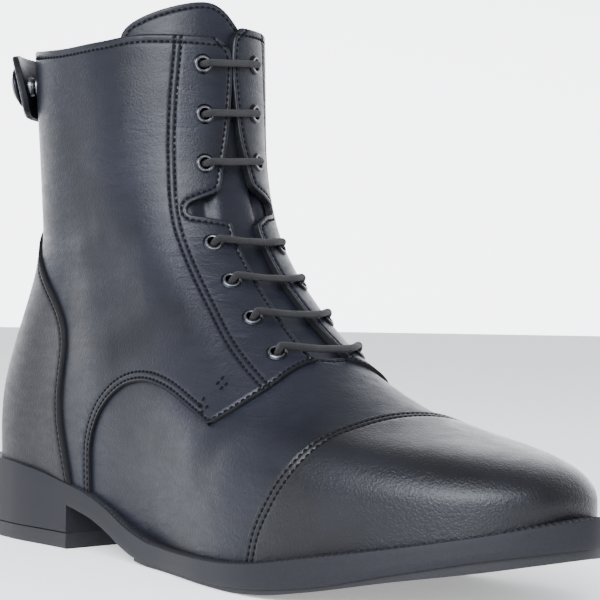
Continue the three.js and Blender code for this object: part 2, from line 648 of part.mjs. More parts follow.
// The snap: a domed cap on the strap, and its socket between the strap and the shaft
function makeSnap() {
  const [y, z] = [strapEnd + 0.45 * snapCap + seat, strapLow + strapHeight / 2];
  const fromBack = (across, up) => onForm(new THREE.Vector3(-farAway, across, up), new THREE.Vector3(1, 0, 0));
  const outer = (across, up) => {
    const { point, normal } = fromBack(across, up);
    return point.clone().addScaledVector(normal, strapLift(point) + strapThick);
  };
  const middle = outer(y, z);
  const normal = outer(y + 1, z).sub(outer(y - 1, z)).cross(outer(y, z + 1).sub(outer(y, z - 1))).normalize().negate();
  const dome = Array.from({ length: 5 }, (_, i) => (Math.PI / 2) * (i / 4));
  const cap = [[0, seat], [snapCap / 2, seat], ...dome.map((a) => [(snapCap / 2) * Math.cos(a), 2 * seat + (snapDome - seat) * Math.sin(a)])];
  const lathe = (profile) => new THREE.LatheGeometry(profile.map(([r, h]) => new THREE.Vector2(Math.max(0, r), h)), 16);
  add("snap_cap", solidOf(lathe(cap).applyMatrix4(eyeletFrame({ point: middle, normal }))), darkMetal);
  const shaft = fromBack(y, z);
  const height = strapLift(shaft.point) - snapSocketGap;
  const socket = [[0, seat], [snapSocket / 2, seat], [snapSocket / 2, height], [0, height]];
  add("snap_socket", solidOf(lathe(socket).applyMatrix4(eyeletFrame(shaft))), brightMetal);
}

makeSole();
makeTread();
makeUpper();
makeOverlays();
makeInside();
makeEyelets();
makeLace();
makeZip();
makeStrap();
makeSnap();
boot.position.x = -heelLength / 2;

export default boot;
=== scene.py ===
# A black leather lace-up jodhpur boot for the right foot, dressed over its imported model.
# Lengths are millimetres until a piece is made. X runs from the sole's rearmost point to the toe,
# Y towards the wearer's left and Z up from the floor; to_frame moves all of it to the row's frame.

import math

import bpy
import numpy as np
from mathutils import Matrix, Vector
from mathutils.bvhtree import BVHTree


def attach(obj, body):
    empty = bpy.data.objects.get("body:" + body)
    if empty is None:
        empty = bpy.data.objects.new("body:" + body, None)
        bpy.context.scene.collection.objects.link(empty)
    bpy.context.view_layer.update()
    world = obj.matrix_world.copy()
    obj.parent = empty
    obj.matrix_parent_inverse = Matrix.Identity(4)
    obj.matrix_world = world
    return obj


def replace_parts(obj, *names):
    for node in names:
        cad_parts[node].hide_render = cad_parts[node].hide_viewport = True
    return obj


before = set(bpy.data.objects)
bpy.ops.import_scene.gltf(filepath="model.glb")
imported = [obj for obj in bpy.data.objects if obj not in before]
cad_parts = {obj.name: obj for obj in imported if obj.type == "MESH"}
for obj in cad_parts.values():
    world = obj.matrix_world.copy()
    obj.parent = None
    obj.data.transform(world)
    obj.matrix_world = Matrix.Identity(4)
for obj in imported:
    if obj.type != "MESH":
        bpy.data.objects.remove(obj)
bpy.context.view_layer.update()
bpy.ops.object.select_all(action="DESELECT")

# The boot's main sizes
SOLE_LENGTH = 307.0
BALL_WIDTH = 105.0
BOOT_HEIGHT = 205.0
HEEL_HEIGHT = 33.0
HEEL_LENGTH = 78.5

# SEAT is the gap that keeps pieces apart; the left facing stands higher than the right one
SEAT = 0.3
OVERLAY = 1.4
WALL = 2.9
COUNTER_THICK = 1.4
TONGUE_THICK = 2.0
INSOLE_THICK = 3.0
LEFT_RISE = 2.2
LEFT_CORNER = 3.2

TOP_LIFT = 6.0
TREAD_INSET = 1.8
LUG_DEPTH = 0.8
LUG_WIDTH = 2.4
LUG_PITCH = 16.0
LUG_MARGIN = 7.0

EYELET_FLANGE = 7.8
EYELET_HOLE = 4.4
LACE_THICK = 2.7

ZIP_WIDTH = 7.0
ZIP_BOTTOM = 62.0
STRAP_HEIGHT = 26.0
STRAP_THICK = 2.6
STRAP_LOW = 0.845 * BOOT_HEIGHT
STRAP_SEWN = 0.24 * BALL_WIDTH
STRAP_END = -0.31 * BALL_WIDTH
SNAP_CAP = 16.0
SNAP_SOCKET = 9.0


def to_frame(points):
    """Points of the boot in millimetres, as metres in the row's frame under the middle of the heel."""
    return (np.asarray(points, float) - (HEEL_LENGTH / 2, 0, 0)) / 1000


# Camera: the photograph's view of the boot, from in front of its outer side, rolled by under a degree
CAMERA_PLACE = (0.6157, -0.4300, 0.0939)
CAMERA_AZIMUTH, CAMERA_ELEVATION, CAMERA_ROLL = 42.009, -0.467, 0.872
CAMERA_LENS, CAMERA_SENSOR = 105.55, 36.0


def make_camera():
    azimuth, elevation, roll = map(math.radians, (CAMERA_AZIMUTH, CAMERA_ELEVATION, CAMERA_ROLL))
    level = math.cos(elevation)
    back = Vector((level * math.cos(azimuth), -level * math.sin(azimuth), math.sin(elevation)))
    right = Vector((math.sin(azimuth), math.cos(azimuth), 0))
    up = back.cross(right)
    lean, upright = math.sin(roll), math.cos(roll)
    axes = (upright * right + lean * up, upright * up - lean * right, back)
    data = bpy.data.cameras.new("photo_camera")
    data.lens, data.sensor_width, data.sensor_fit = CAMERA_LENS, CAMERA_SENSOR, "HORIZONTAL"
    camera = bpy.data.objects.new("photo_camera", data)
    camera.matrix_world = Matrix.Translation(CAMERA_PLACE) @ Matrix(axes).transposed().to_4x4()
    bpy.context.scene.collection.objects.link(camera)
    bpy.context.scene.camera = camera


make_camera()


# Tables of the boot, each a share of the size that it follows
LOOP_COLUMNS = (
    "front_x front_z back_x back_z heel_at heel_half waist_at waist_right waist_left "
    "ball_at ball_right ball_left tip_shift bluntness"
).split()
LOOPS = np.array([
    (0.978, 0.02, 0.014, 0.02, 0.125, 0.275, 0.38, 0.3, 0.228, 0.675, 0.5, 0.388, 0.085, 2.3),
    (0.98, 0.14, 0.013, 0.16, 0.125, 0.282, 0.38, 0.322, 0.252, 0.675, 0.508, 0.394, 0.085, 2.3),
    (0.976, 0.195, 0.01, 0.24, 0.135, 0.288, 0.38, 0.352, 0.285, 0.665, 0.495, 0.39, 0.08, 2.3),
    (0.928, 0.236, 0.014, 0.31, 0.15, 0.286, 0.39, 0.365, 0.31, 0.65, 0.452, 0.374, 0.065, 2.2),
    (0.797, 0.279, 0.037, 0.39, 0.17, 0.284, 0.41, 0.362, 0.322, 0.62, 0.385, 0.345, 0.03, 2.2),
    (0.668, 0.36, 0.067, 0.47, 0.2, 0.284, 0.44, 0.345, 0.325, 0.62, 0.345, 0.33, 0.0, 2.3),
    (0.57, 0.46, 0.096, 0.56, 0.27, 0.295, 0.45, 0.325, 0.32, 0.63, 0.325, 0.32, 0.0, 2.35),
    (0.49, 0.585, 0.106, 0.65, 0.37, 0.325, 0.46, 0.33, 0.33, 0.62, 0.33, 0.33, 0.0, 2.3),
    (0.457, 0.72, 0.107, 0.75, 0.42, 0.35, 0.48, 0.35, 0.35, 0.58, 0.35, 0.35, 0.0, 2.15),
    (0.449, 0.87, 0.102, 0.88, 0.42, 0.365, 0.48, 0.365, 0.365, 0.56, 0.365, 0.365, 0.0, 2.1),
    (0.444, 1.0, 0.099, 1.0, 0.42, 0.375, 0.48, 0.375, 0.375, 0.56, 0.375, 0.375, 0.0, 2.1),
    (0.43, 1.1, 0.097, 1.1, 0.42, 0.375, 0.48, 0.375, 0.375, 0.56, 0.375, 0.375, 0.0, 2.1),
])
# at, right, left
SOLE_OUTLINE = np.array([
    (0.0, 0.0, 0.0), (0.012, 0.155, 0.155), (0.05, 0.26, 0.26), (0.12, 0.308, 0.305),
    (0.24, 0.315, 0.298), (0.36, 0.333, 0.262), (0.48, 0.39, 0.278), (0.6, 0.475, 0.385),
    (0.69, 0.508, 0.458), (0.78, 0.478, 0.47), (0.86, 0.388, 0.432), (0.93, 0.25, 0.352),
    (0.975, 0.105, 0.268), (1.0, -0.09, 0.09),
])
# at, top, under
SOLE_SIDE = np.array([
    (0.0, 1.0, 0.52), (0.11, 0.976, 0.52), (0.175, 0.915, 0.52), (0.24, 0.812, 0.52),
    (0.3, 0.703, 0.43), (0.35, 0.555, 0.28), (0.385, 0.43, 0.15), (0.42, 0.342, 0.07),
    (0.46, 0.285, 0.052), (0.52, 0.268, 0.052), (0.61, 0.285, 0.052), (0.68, 0.333, 0.08),
    (0.77, 0.475, 0.18), (0.865, 0.64, 0.378), (0.94, 0.79, 0.54), (1.0, 0.94, 0.65),
])
# at, under
TREAD_SIDE = np.array([
    (0.41, 0.025), (0.445, 0.0), (0.63, 0.0), (0.7, 0.035), (0.77, 0.133), (0.865, 0.31),
    (0.94, 0.435), (1.0, 0.55),
])
# at, up, from the side
QUARTER_FRONT = [(0.64, 0.46), (0.641, 0.37), (0.634, 0.335), (0.61, 0.3), (0.583, 0.268)]
QUARTER_SWOOP = [
    (0.583, 0.268), (0.535, 0.295), (0.485, 0.322), (0.44, 0.333), (0.396, 0.322), (0.354, 0.285),
    (0.325, 0.24), (0.308, 0.19), (0.302, 0.12), (0.304, 0.05),
]
COUNTER_EDGE = [
    (0.03, 0.75), (0.1, 0.675), (0.13, 0.615), (0.165, 0.555), (0.207, 0.495), (0.239, 0.437),
    (0.249, 0.388), (0.245, 0.34), (0.241, 0.295), (0.243, 0.25), (0.248, 0.21), (0.264, 0.1),
]
CAP_EDGE = [
    (0.66, 0.0), (0.668, 0.06), (0.678, 0.11), (0.7, 0.168), (0.724, 0.222), (0.739, 0.26),
    (0.755, 0.3), (0.77, 0.36),
]
COLLAR_EDGE = np.array([
    (-0.05, 0.995), (0.12, 0.982), (0.19, 0.966), (0.26, 0.96), (0.33, 0.963), (0.4, 0.972),
    (0.5, 0.966),
])
# up, out, from the front; the wide rows are the flex notch
THROAT = np.array([
    (0.34, 0.09), (0.388, 0.085), (0.41, 0.083), (0.47, 0.07), (0.54, 0.062), (0.626, 0.062),
    (0.637, 0.196), (0.645, 0.206), (0.655, 0.2), (0.688, 0.078), (0.73, 0.055), (0.78, 0.03),
    (0.84, 0.012), (0.92, 0.0), (0.948, 0.012), (0.966, 0.05), (1.02, 0.14),
])
NOTCH_FROM = 0.63
# up, out, from the front: the inner of the two stitched rows behind the eyelets
FACING = [
    (1.1, 0.18), (0.97, 0.191), (0.849, 0.209), (0.729, 0.22), (0.636, 0.232), (0.5625, 0.235),
    (0.481, 0.246), (0.408, 0.264), (0.3385, 0.278), (0.25, 0.3),
]
# up, right, left, from the front
TONGUE_SIDE = np.array([
    (0.34, 0.14, 0.14), (0.37, 0.21, 0.21), (0.6, 0.25, 0.25), (0.9, 0.32, 0.25), (0.96, 0.345, 0.17),
    (0.985, 0.345, 0.07), (1.01, 0.32, 0.045), (1.03, 0.24, 0.005), (1.042, 0.14, -0.03),
])
# up, out, from the collar down
EYELETS = [
    (0.918, 0.124), (0.825, 0.12), (0.733, 0.126), (0.585, 0.158), (0.516, 0.163), (0.451, 0.175),
    (0.391, 0.19),
]


def ease(t):
    return t * t * (3 - 2 * t)


def table_at(rows, column, at):
    """A column of a table at shares of the length, by a cubic that never overshoots its rows."""
    x, y = rows[:, 0], rows[:, column]
    slope = np.diff(y) / np.diff(x)
    before, after = np.r_[slope[:1], slope], np.r_[slope, slope[-1:]]
    both = before * after
    tangent = np.where(both > 0, 2 * both / np.where(both > 0, before + after, 1), 0)
    r = np.clip(np.searchsorted(x, at, side="right") - 1, 0, len(x) - 2)
    span = x[r + 1] - x[r]
    t = np.clip((at - x[r]) / span, 0, 1)
    bow = span * t * (1 - t) * ((1 - t) * tangent[r] - t * tangent[r + 1])
    return y[r] + (y[r + 1] - y[r]) * ease(t) + bow


def catmull(points, steps):
    """A smooth open line through points."""
    p = np.array(points, float)
    q = np.vstack([2 * p[0] - p[1], p, 2 * p[-1] - p[-2]])
    t = np.linspace(0, 1, steps, endpoint=False)[:, None]
    parts = [
        b + 0.5 * t * (c - a + t * (2 * a - 5 * b + 4 * c - d + t * (3 * (b - c) + d - a)))
        for a, b, c, d in zip(q, q[1:], q[2:], q[3:])
    ]
    return np.vstack([*parts, p[-1:]])


# The form: one ring of points for each height, from the back along the right side and back on the left
LEVELS, AROUND, FINE = 146, 105, 400
EASING = 0.6
SMOOTH_UP, SMOOTH_ROUND = 14, 6


def column_at(column, level):
    """A column of the loops at a level between its rows."""
    values = LOOPS[:, LOOP_COLUMNS.index(column)]
    row = min(int(level), len(values) - 2)
    a, b, c, d = (values[min(max(r, 0), len(values) - 1)] for r in range(row - 1, row + 3))
    t = level - row
    return b + 0.5 * t * (c - a + t * (2 * a - 5 * b + 4 * c - d + t * (3 * (b - c) + d - a)))


def eased_at(column, level):
    """The same, with the widths eased so that no row shows as a ridge."""
    if column in ("front_x", "front_z", "back_x", "back_z"):
        return column_at(column, level)
    near = (max(level - EASING, 0), level, level, min(level + EASING, len(LOOPS) - 1))
    return sum(column_at(column, value) for value in near) / 4


def half_width(row, side, t):
    """How far a loop reaches to one side at shares of its length: heel, waist, ball and rounded tip."""
    heel, waist, ball = (row[c] * BALL_WIDTH for c in ("heel_half", f"waist_{side}", f"ball_{side}"))
    to_waist = np.clip((t - row["heel_at"]) / (row["waist_at"] - row["heel_at"]), 0, 1)
    to_ball = np.clip((t - row["waist_at"]) / (row["ball_at"] - row["waist_at"]), 0, 1)
    to_tip = np.clip((t - row["ball_at"]) / (1 - row["ball_at"]), 0, 1)
    wide = heel + (waist - heel) * ease(to_waist) + (ball - waist) * ease(to_ball)
    back = np.sqrt(np.clip(1 - np.clip(1 - t / row["heel_at"], 0, 1) ** 2, 0, 1))
    return wide * back * np.clip(1 - to_tip ** row["bluntness"], 0, 1) ** (1 / row["bluntness"])


def side_of_loop(row, side):
    """One side of a loop as evenly spread points."""
    t = (1 - np.cos(np.pi * np.arange(FINE + 1) / FINE)) / 2
    back = np.array((row["back_x"] * SOLE_LENGTH, 0, row["back_z"] * BOOT_HEIGHT))
    front = np.array((row["front_x"] * SOLE_LENGTH, 0, row["front_z"] * BOOT_HEIGHT))
    points = back + t[:, None] * (front - back)
    drift = row["tip_shift"] * BALL_WIDTH * ease(np.clip((t - row["waist_at"]) / (1 - row["waist_at"]), 0, 1))
    points[:, 1] = (-1 if side == "right" else 1) * half_width(row, side, t) + drift
    length = np.r_[0, np.cumsum(np.linalg.norm(np.diff(points, axis=0), axis=1))]
    share = np.arange(AROUND + 1) / AROUND
    want = length[-1] * (share - 0.5 * np.sin(2 * np.pi * share) / (2 * np.pi))
    return np.stack([np.interp(want, length, points[:, k]) for k in range(3)], 1)


def make_form():
    """The outside of the leather as places with normals, and the triangles between them."""
    rings = []
    for level in np.linspace(0, len(LOOPS) - 1, LEVELS + 1):
        row = {c: eased_at(c, level) for c in LOOP_COLUMNS}
        right, left = side_of_loop(row, "right"), side_of_loop(row, "left")
        rings.append(np.vstack([right, left[-2:0:-1]]))
    rings = np.array(rings)
    for _ in range(SMOOTH_UP):
        rings[1:-1] = (rings[:-2] + 2 * rings[1:-1] + rings[2:]) / 4
    for _ in range(SMOOTH_ROUND):
        rings = (np.roll(rings, 1, 1) + 2 * rings + np.roll(rings, -1, 1)) / 4
    along = np.roll(rings, -1, 1) - np.roll(rings, 1, 1)
    up = np.gradient(rings, axis=0)
    normals = np.cross(along, up)
    normals /= np.linalg.norm(normals, axis=2, keepdims=True)
    count = rings.shape[1]
    k, i = np.meshgrid(np.arange(LEVELS), np.arange(count), indexing="ij")
    j = (i + 1) % count
    a, b, c, d = (x.ravel() for x in (k * count + i, k * count + j, (k + 1) * count + j, (k + 1) * count + i))
    faces = np.vstack([np.stack([a, b, c], 1), np.stack([a, c, d], 1)])
    return np.hstack([rings.reshape(-1, 3), normals.reshape(-1, 3)]), faces


FORM = make_form()
FORM_TREE = BVHTree.FromPolygons(FORM[0][:, :3].tolist(), FORM[1].tolist())


def on_form(origin, direction):
    """Where a straight line first meets the form, with the smooth normal there."""
    place, _, index, _ = FORM_TREE.ray_cast(Vector(origin), Vector(direction))
    corners = FORM[0][FORM[1][index]]
    weight = 1 / (np.linalg.norm(corners[:, :3] - np.array(place), axis=1) + 1e-6)
    normal = (weight[:, None] * corners[:, 3:6]).sum(0)
    return np.array(place), normal / np.linalg.norm(normal)


def from_front(y, z):
    return on_form((2 * SOLE_LENGTH, y, z), (-1, 0, 0))


def from_back(y, z):
    return on_form((-SOLE_LENGTH, y, z), (1, 0, 0))


# Places well outside the boot, which close an outline behind, beyond and above it
BEHIND, BEYOND, ABOVE = -40.0, 350.0, 420.0
# Where the boot's front begins and its back ends for edges drawn from there, and a place far inside a panel
FRONT_FROM, BACK_TO, DEEP = SOLE_LENGTH / 3, SOLE_LENGTH / 4, 60.0


# Fields: signed distances along the leather from a panel's edge, above zero inside the panel
SIDE, FRONT = (0, 2), (1, 2)


def outline_field(outline, axes):
    """The distance from a closed outline drawn from the side or the front, above zero inside it."""
    a = np.array(outline, float)
    b = np.roll(a, -1, 0)
    step = b - a
    kept = (step ** 2).sum(1) > 1e-9
    a, b, step = a[kept], b[kept], step[kept]

    def chunk(rows):
        q = rows[:, axes][:, None]
        t = np.clip(((q - a) * step).sum(2) / (step ** 2).sum(1), 0, 1)
        away = q - a - t[..., None] * step
        far = (away ** 2).sum(2)
        nearest = far.argmin(1)
        pick = np.arange(len(rows))
        away, far = away[pick, nearest], np.sqrt(far[pick, nearest])
        x, z = q[:, :, 0], q[:, :, 1]
        spans = (a[:, 1] > z) != (b[:, 1] > z)
        rise = np.where(step[:, 1] == 0, 1, step[:, 1])
        inside = (spans & (x < a[:, 0] + (z - a[:, 1]) * step[:, 0] / rise)).sum(1) % 2 == 1
        lean = (away * rows[:, [axes[0] + 3, axes[1] + 3]]).sum(1) / np.maximum(far, 1e-6)
        slant = np.sqrt(np.clip(1 - lean ** 2, 0.2, 1))
        return np.where(inside, far, -far) / slant

    def field(rows):
        return np.concatenate([chunk(rows[n : n + 8000]) for n in range(0, len(rows), 8000)])

    return field


def scaled(points, first=SOLE_LENGTH, second=BOOT_HEIGHT):
    return np.array(points, float) * (first, second)


QUARTER_CORNER = QUARTER_SWOOP[0][0] * SOLE_LENGTH

quarter_line = np.vstack([catmull(QUARTER_FRONT, 8), catmull(QUARTER_SWOOP, 8)[1:]])
quarter_field = outline_field(
    [(BEYOND, 0.46 * BOOT_HEIGHT), *scaled(quarter_line), (BEHIND, 0), (BEHIND, ABOVE), (BEYOND, ABOVE)], SIDE
)
counter_field = outline_field(
    [*scaled(catmull(COUNTER_EDGE, 8)), (BEHIND, -10), (BEHIND, 0.75 * BOOT_HEIGHT)], SIDE
)
cap_field = outline_field([*scaled(catmull(CAP_EDGE, 6)), (BEYOND, 0.36 * BOOT_HEIGHT), (BEYOND, -10)], SIDE)


def opening_outline(low):
    """The throat as a closed outline from the front; the left side stands a little higher above the notch."""
    up = np.unique(np.r_[np.linspace(low, 1.02, 120), THROAT[THROAT[:, 0] >= low, 0]])
    out = table_at(THROAT, 1, up) * BALL_WIDTH
    rise = np.where(up > NOTCH_FROM, LEFT_RISE, 0) + LEFT_CORNER * ease(np.clip((up - 0.92) / 0.025, 0, 1))
    right = np.stack([-out, up * BOOT_HEIGHT], 1)
    left = np.stack([out, up * BOOT_HEIGHT + rise], 1)
    return np.vstack([right, left[::-1]])


def outside(field, first_x):
    """The same edge seen from its other side, on the part of the boot in front of first_x."""

    def turned(rows):
        return np.where(rows[:, 0] > first_x, -field(rows), DEEP)

    return turned


throat_field = outside(outline_field(opening_outline(THROAT[0, 0]), FRONT), FRONT_FROM)
vamp_top_field = outside(
    outline_field([(-16, 80.5), (0, 79.5), (16, 80.5), (16, ABOVE), (-16, ABOVE)], FRONT), FRONT_FROM
)
facing_line = catmull([(out * BALL_WIDTH, up * BOOT_HEIGHT) for up, out in FACING], 6)
facing_side = outline_field([*facing_line, (0, 40), (0, ABOVE)], FRONT)


def facing_field(rows):
    """The distance outwards from the stitched row behind the eyelets, alike on both sides."""
    folded = rows.copy()
    folded[:, 1] = np.abs(rows[:, 1])
    folded[:, 4] *= np.sign(rows[:, 1])
    return np.where(rows[:, 0] > FRONT_FROM, -facing_side(folded), DEEP)


def collar_field(rows):
    """The distance below the collar's edge."""
    edge = table_at(COLLAR_EDGE, 1, rows[:, 0] / SOLE_LENGTH) * BOOT_HEIGHT
    across = ease(np.clip(rows[:, 0] / (0.5 * SOLE_LENGTH), 0, 1)) * (rows[:, 1] > 0)
    corner = LEFT_CORNER * ease(np.clip(rows[:, 0] / SOLE_LENGTH / 0.1 - 3, 0, 1)) * (rows[:, 1] > 0)
    return edge + LEFT_RISE * across + corner - rows[:, 2]


def slot_field(width, low):
    """The distance from a slot up the middle of the back, such as the zip's."""

    def field(rows):
        over = np.stack([np.abs(rows[:, 1]) - width / 2, low - rows[:, 2]], 1)
        outer = np.linalg.norm(np.maximum(over, 0), axis=1) + np.minimum(over.max(1), 0)
        return np.where(rows[:, 0] < BACK_TO, outer, DEEP)

    return field


def sole_top(x):
    return HEEL_HEIGHT * table_at(SOLE_SIDE, 1, x / SOLE_LENGTH)


def sole_under(x):
    return HEEL_HEIGHT * table_at(SOLE_SIDE, 2, x / SOLE_LENGTH)


def feather_field(rows):
    """Above the welt, with half a millimetre tucked into it."""
    return rows[:, 2] - sole_top(rows[:, 0]) + 0.5


# Skins: triangles of the form whose corners carry place, normal and which lines they lie on.
# A corner closer than SNAP to a cut counts as on it
SNAP = 0.07


def cut_along(skin, field, at=0.0, mark=False):
    """Splits the triangles where a field has a value, and may note the corners on that line."""
    points, faces = skin
    value = field(points) - at
    value[np.abs(value) < SNAP] = 0
    sign = np.sign(value)[faces]
    crossed = (sign.min(1) < 0) & (sign.max(1) > 0)
    made, added, parts = {}, [], []

    def between(a, b):
        key = (min(a, b), max(a, b))
        if key not in made:
            made[key] = len(points) + len(added)
            added.append(points[a] + value[a] / (value[a] - value[b]) * (points[b] - points[a]))
        return made[key]

    for corners, signs in zip(faces[crossed].tolist(), sign[crossed].tolist()):
        first = signs.index(0) if 0 in signs else signs.index(-sum(signs))
        a, b, c = corners[first:] + corners[:first]
        if 0 in signs:
            m = between(b, c)
            parts += [(a, b, m), (a, m, c)]
        else:
            m, n = between(a, b), between(a, c)
            parts += [(a, m, n), (m, b, c), (m, c, n)]
    on_line = np.r_[value == 0, np.ones(len(added), bool)].astype(float)
    if added:
        points = np.vstack([points, added])
        faces = np.vstack([faces[~crossed], parts])
    if mark:
        points = np.hstack([points, on_line[:, None]])
    return points, faces


def keep_inside(skin, field):
    """Cuts a skin along a field's edge and drops what lies outside."""
    points, faces = cut_along(skin, field)
    inside = field(points)[faces].mean(1) > 0
    return compact((points, faces[inside]))


def compact(skin):
    """Drops the corners that no triangle uses."""
    points, faces = skin
    used, numbers = np.unique(faces, return_inverse=True)
    return points[used], numbers.reshape(-1, 3)


def crop(low, high):
    """The part of the form whose triangles reach into a box."""
    points, faces = FORM
    inside = ((points[:, :3] > low) & (points[:, :3] < high)).all(1)
    return compact((points, faces[inside[faces].any(1)]))


def chains(points, faces, column):
    """The marked line of a skin as runs of corners in order."""
    edges = {}
    for corners in faces[(points[faces, column] > 0.999).sum(1) >= 2].tolist():
        marked = [c for c in corners if points[c, column] > 0.999]
        if len(marked) == 2:
            edges.setdefault(marked[0], set()).add(marked[1])
            edges.setdefault(marked[1], set()).add(marked[0])
    runs = []
    starts = sorted(edges, key=lambda c: len(edges[c]) != 1)
    for start in starts:
        while edges[start]:
            run, here = [start], start
            while edges[here]:
                after = edges[here].pop()
                edges[after].discard(here)
                run.append(after)
                here = after
            runs.append(run)
    return runs


# Creases: view, side, points, how wide and how deep; a negative depth is a ridge
CREASES = [
    ("side", -1, [(44, 128), (70, 124), (98, 127)], 7.0, 0.55),
    ("side", -1, [(50, 114), (78, 109), (108, 113), (124, 120)], 7.5, 0.65),
    ("side", -1, [(48, 121), (75, 116.5), (104, 120)], 4.5, -0.3),
    ("side", -1, [(72, 96), (98, 92), (128, 100)], 9.0, 0.55),
    ("side", -1, [(112, 76), (132, 84), (150, 92)], 8.0, 0.45),
    ("side", -1, [(58, 166), (84, 170), (112, 163)], 13.0, 0.5),
    ("side", -1, [(96, 148), (108, 168), (110, 188)], 11.0, -0.4),
    ("side", -1, [(174, 34), (186, 48), (196, 60)], 7.0, 0.5),
    ("side", -1, [(160, 26), (170, 40), (178, 50)], 6.0, -0.3),
    ("side", -1, [(120, 46), (140, 54), (164, 47)], 9.0, 0.5),
    ("side", 1, [(46, 126), (74, 121), (104, 126)], 7.0, 0.55),
    ("side", 1, [(52, 112), (84, 107), (118, 114)], 8.0, 0.6),
    ("side", 1, [(70, 95), (100, 90), (132, 101)], 9.0, 0.5),
    ("side", 1, [(60, 164), (88, 168), (114, 160)], 13.0, 0.45),
    ("side", 1, [(168, 32), (182, 46), (192, 62)], 7.0, 0.5),
    ("side", 1, [(118, 44), (142, 52), (166, 45)], 9.0, 0.45),
    ("front", 0, [(-34, 52), (-14, 60), (8, 61), (32, 52)], 5.5, 0.4),
    ("front", 0, [(-30, 60), (-10, 68), (10, 69), (28, 60)], 5.0, 0.25),
]
# How strongly the creases show, and how far the hide is uneven between them
CREASING, UNEVEN = 1.7, 0.13


def crease_height(rows):
    """How far the leather stands off the smooth form, from its creases and its slight unevenness."""
    height = np.zeros(len(rows))
    for view, side, points, width, depth in CREASES:
        line = catmull(points, 5)
        q = rows[:, SIDE if view == "side" else FRONT]
        best = np.full(len(rows), 1e9)
        along = np.zeros(len(rows))
        for n, (a, b) in enumerate(zip(line, line[1:])):
            t = np.clip(((q - a) @ (b - a)) / ((b - a) ** 2).sum(), 0, 1)
            far = ((q - a - t[:, None] * (b - a)) ** 2).sum(1)
            closer = far < best
            best[closer] = far[closer]
            along[closer] = (n + t[closer]) / (len(line) - 1)
        facing = np.clip(side * rows[:, 4] * 2, 0, 1) if side else np.clip(rows[:, 3] * 2, 0, 1)
        taper = np.clip(4 * along * (1 - along), 0.0, 1) ** 0.7
        height -= CREASING * depth * np.exp(-best / width ** 2) * facing * taper
    x, y, z = rows[:, 0], rows[:, 1], rows[:, 2]
    uneven = np.sin(x / 17 + z / 23) * np.sin(z / 19 - y / 27)
    uneven += 0.6 * np.sin(x / 9.5 - y / 13) * np.sin(z / 11 + 1)
    stiff = np.clip((x - 200) / 20, 0, 1) + np.clip((70 - x) / 20, 0, 1) * (z < 80)
    return height + UNEVEN * uneven * (1 - 0.75 * np.clip(stiff, 0, 1))


# The trough that a row of stitches pulls into the leather, the length of a stitch, and how proud it lies
SEW_SPREAD, SEW_DEPTH, SEW_PITCH, SEW_LIFT = 0.55, 0.5, 2.35, 0.22


class Edge:
    """One edge or seam of a panel: its field, how round its lip is, where its stitch rows lie, whether
    it cuts the panel, how wide its inked cut edge shows, and how far forward its second row reaches."""

    def __init__(self, field, lip=0.0, rows=(), cuts=True, inked=0.0, second_until=BEYOND):
        self.field, self.lip, self.rows, self.cuts = field, lip, rows, cuts
        self.inked, self.second_until = inked, second_until


def leather_height(points, edges, top):
    """How far a panel's face stands off the form: creases, rounded lips and sewn troughs."""
    height = top + crease_height(points)
    for edge in edges:
        if not edge.lip and not edge.rows:
            continue
        d = edge.field(points)
        if edge.lip:
            height -= edge.lip * (1 - np.sqrt(1 - (1 - np.clip(d / edge.lip, 0, 1)) ** 2))
        for n, row in enumerate(edge.rows):
            sunk = SEW_DEPTH * np.exp(-(((d - row) / SEW_SPREAD) ** 2))
            height -= sunk * (1 if n == 0 else np.clip(edge.second_until - points[:, 0], 0, 1))
    return height


def cut_panel(skin, edges, holes=()):
    """Cuts a panel out of the form, with lines of corners at its lips and along its stitch rows."""
    for edge in edges:
        if edge.cuts:
            skin = keep_inside(skin, edge.field)
    for hole in holes:
        skin = keep_inside(skin, hole)
    marks = []
    for edge in edges:
        for share in (0.12, 0.45, 1.0):
            if edge.lip:
                skin = cut_along(skin, edge.field, share * edge.lip)
        for n, row in enumerate(edge.rows):
            for shift in (-2, -0.9, 0.9, 2):
                skin = cut_along(skin, edge.field, row + shift * SEW_SPREAD)
            skin = cut_along(skin, edge.field, row, mark=True)
            marks.append((skin[0].shape[1] - 1, edge.second_until if n else BEYOND))
        if edge.inked > edge.lip:
            skin = cut_along(skin, edge.field, edge.inked)
    return skin, marks


def inked_faces(skin, edges):
    """The faces of a panel that lie on the inked band along its cut edges."""
    points, faces = skin
    bands = [edge.field(points)[faces].mean(1) < edge.inked for edge in edges if edge.inked]
    return np.any(bands, axis=0).astype(int) if bands else np.zeros(len(faces), int)


def new_object(name, vertices, faces, looks, face_looks=None, smooth=40.0):
    """A piece of the boot from its corners in millimetres, smooth except at its sharp edges."""
    mesh = bpy.data.meshes.new(name)
    mesh.from_pydata(to_frame(vertices).tolist(), [], [list(f) for f in faces])
    for look in looks:
        mesh.materials.append(look)
    if face_looks is not None:
        mesh.polygons.foreach_set("material_index", np.asarray(face_looks, np.int32))
    piece = bpy.data.objects.new(name, mesh)
    bpy.context.scene.collection.objects.link(piece)
    bpy.ops.object.select_all(action="DESELECT")
    piece.select_set(True)
    bpy.context.view_layer.objects.active = piece
    bpy.ops.object.shade_smooth_by_angle(angle=math.radians(smooth))
    piece.select_set(False)
    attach(piece, "root")
    return piece


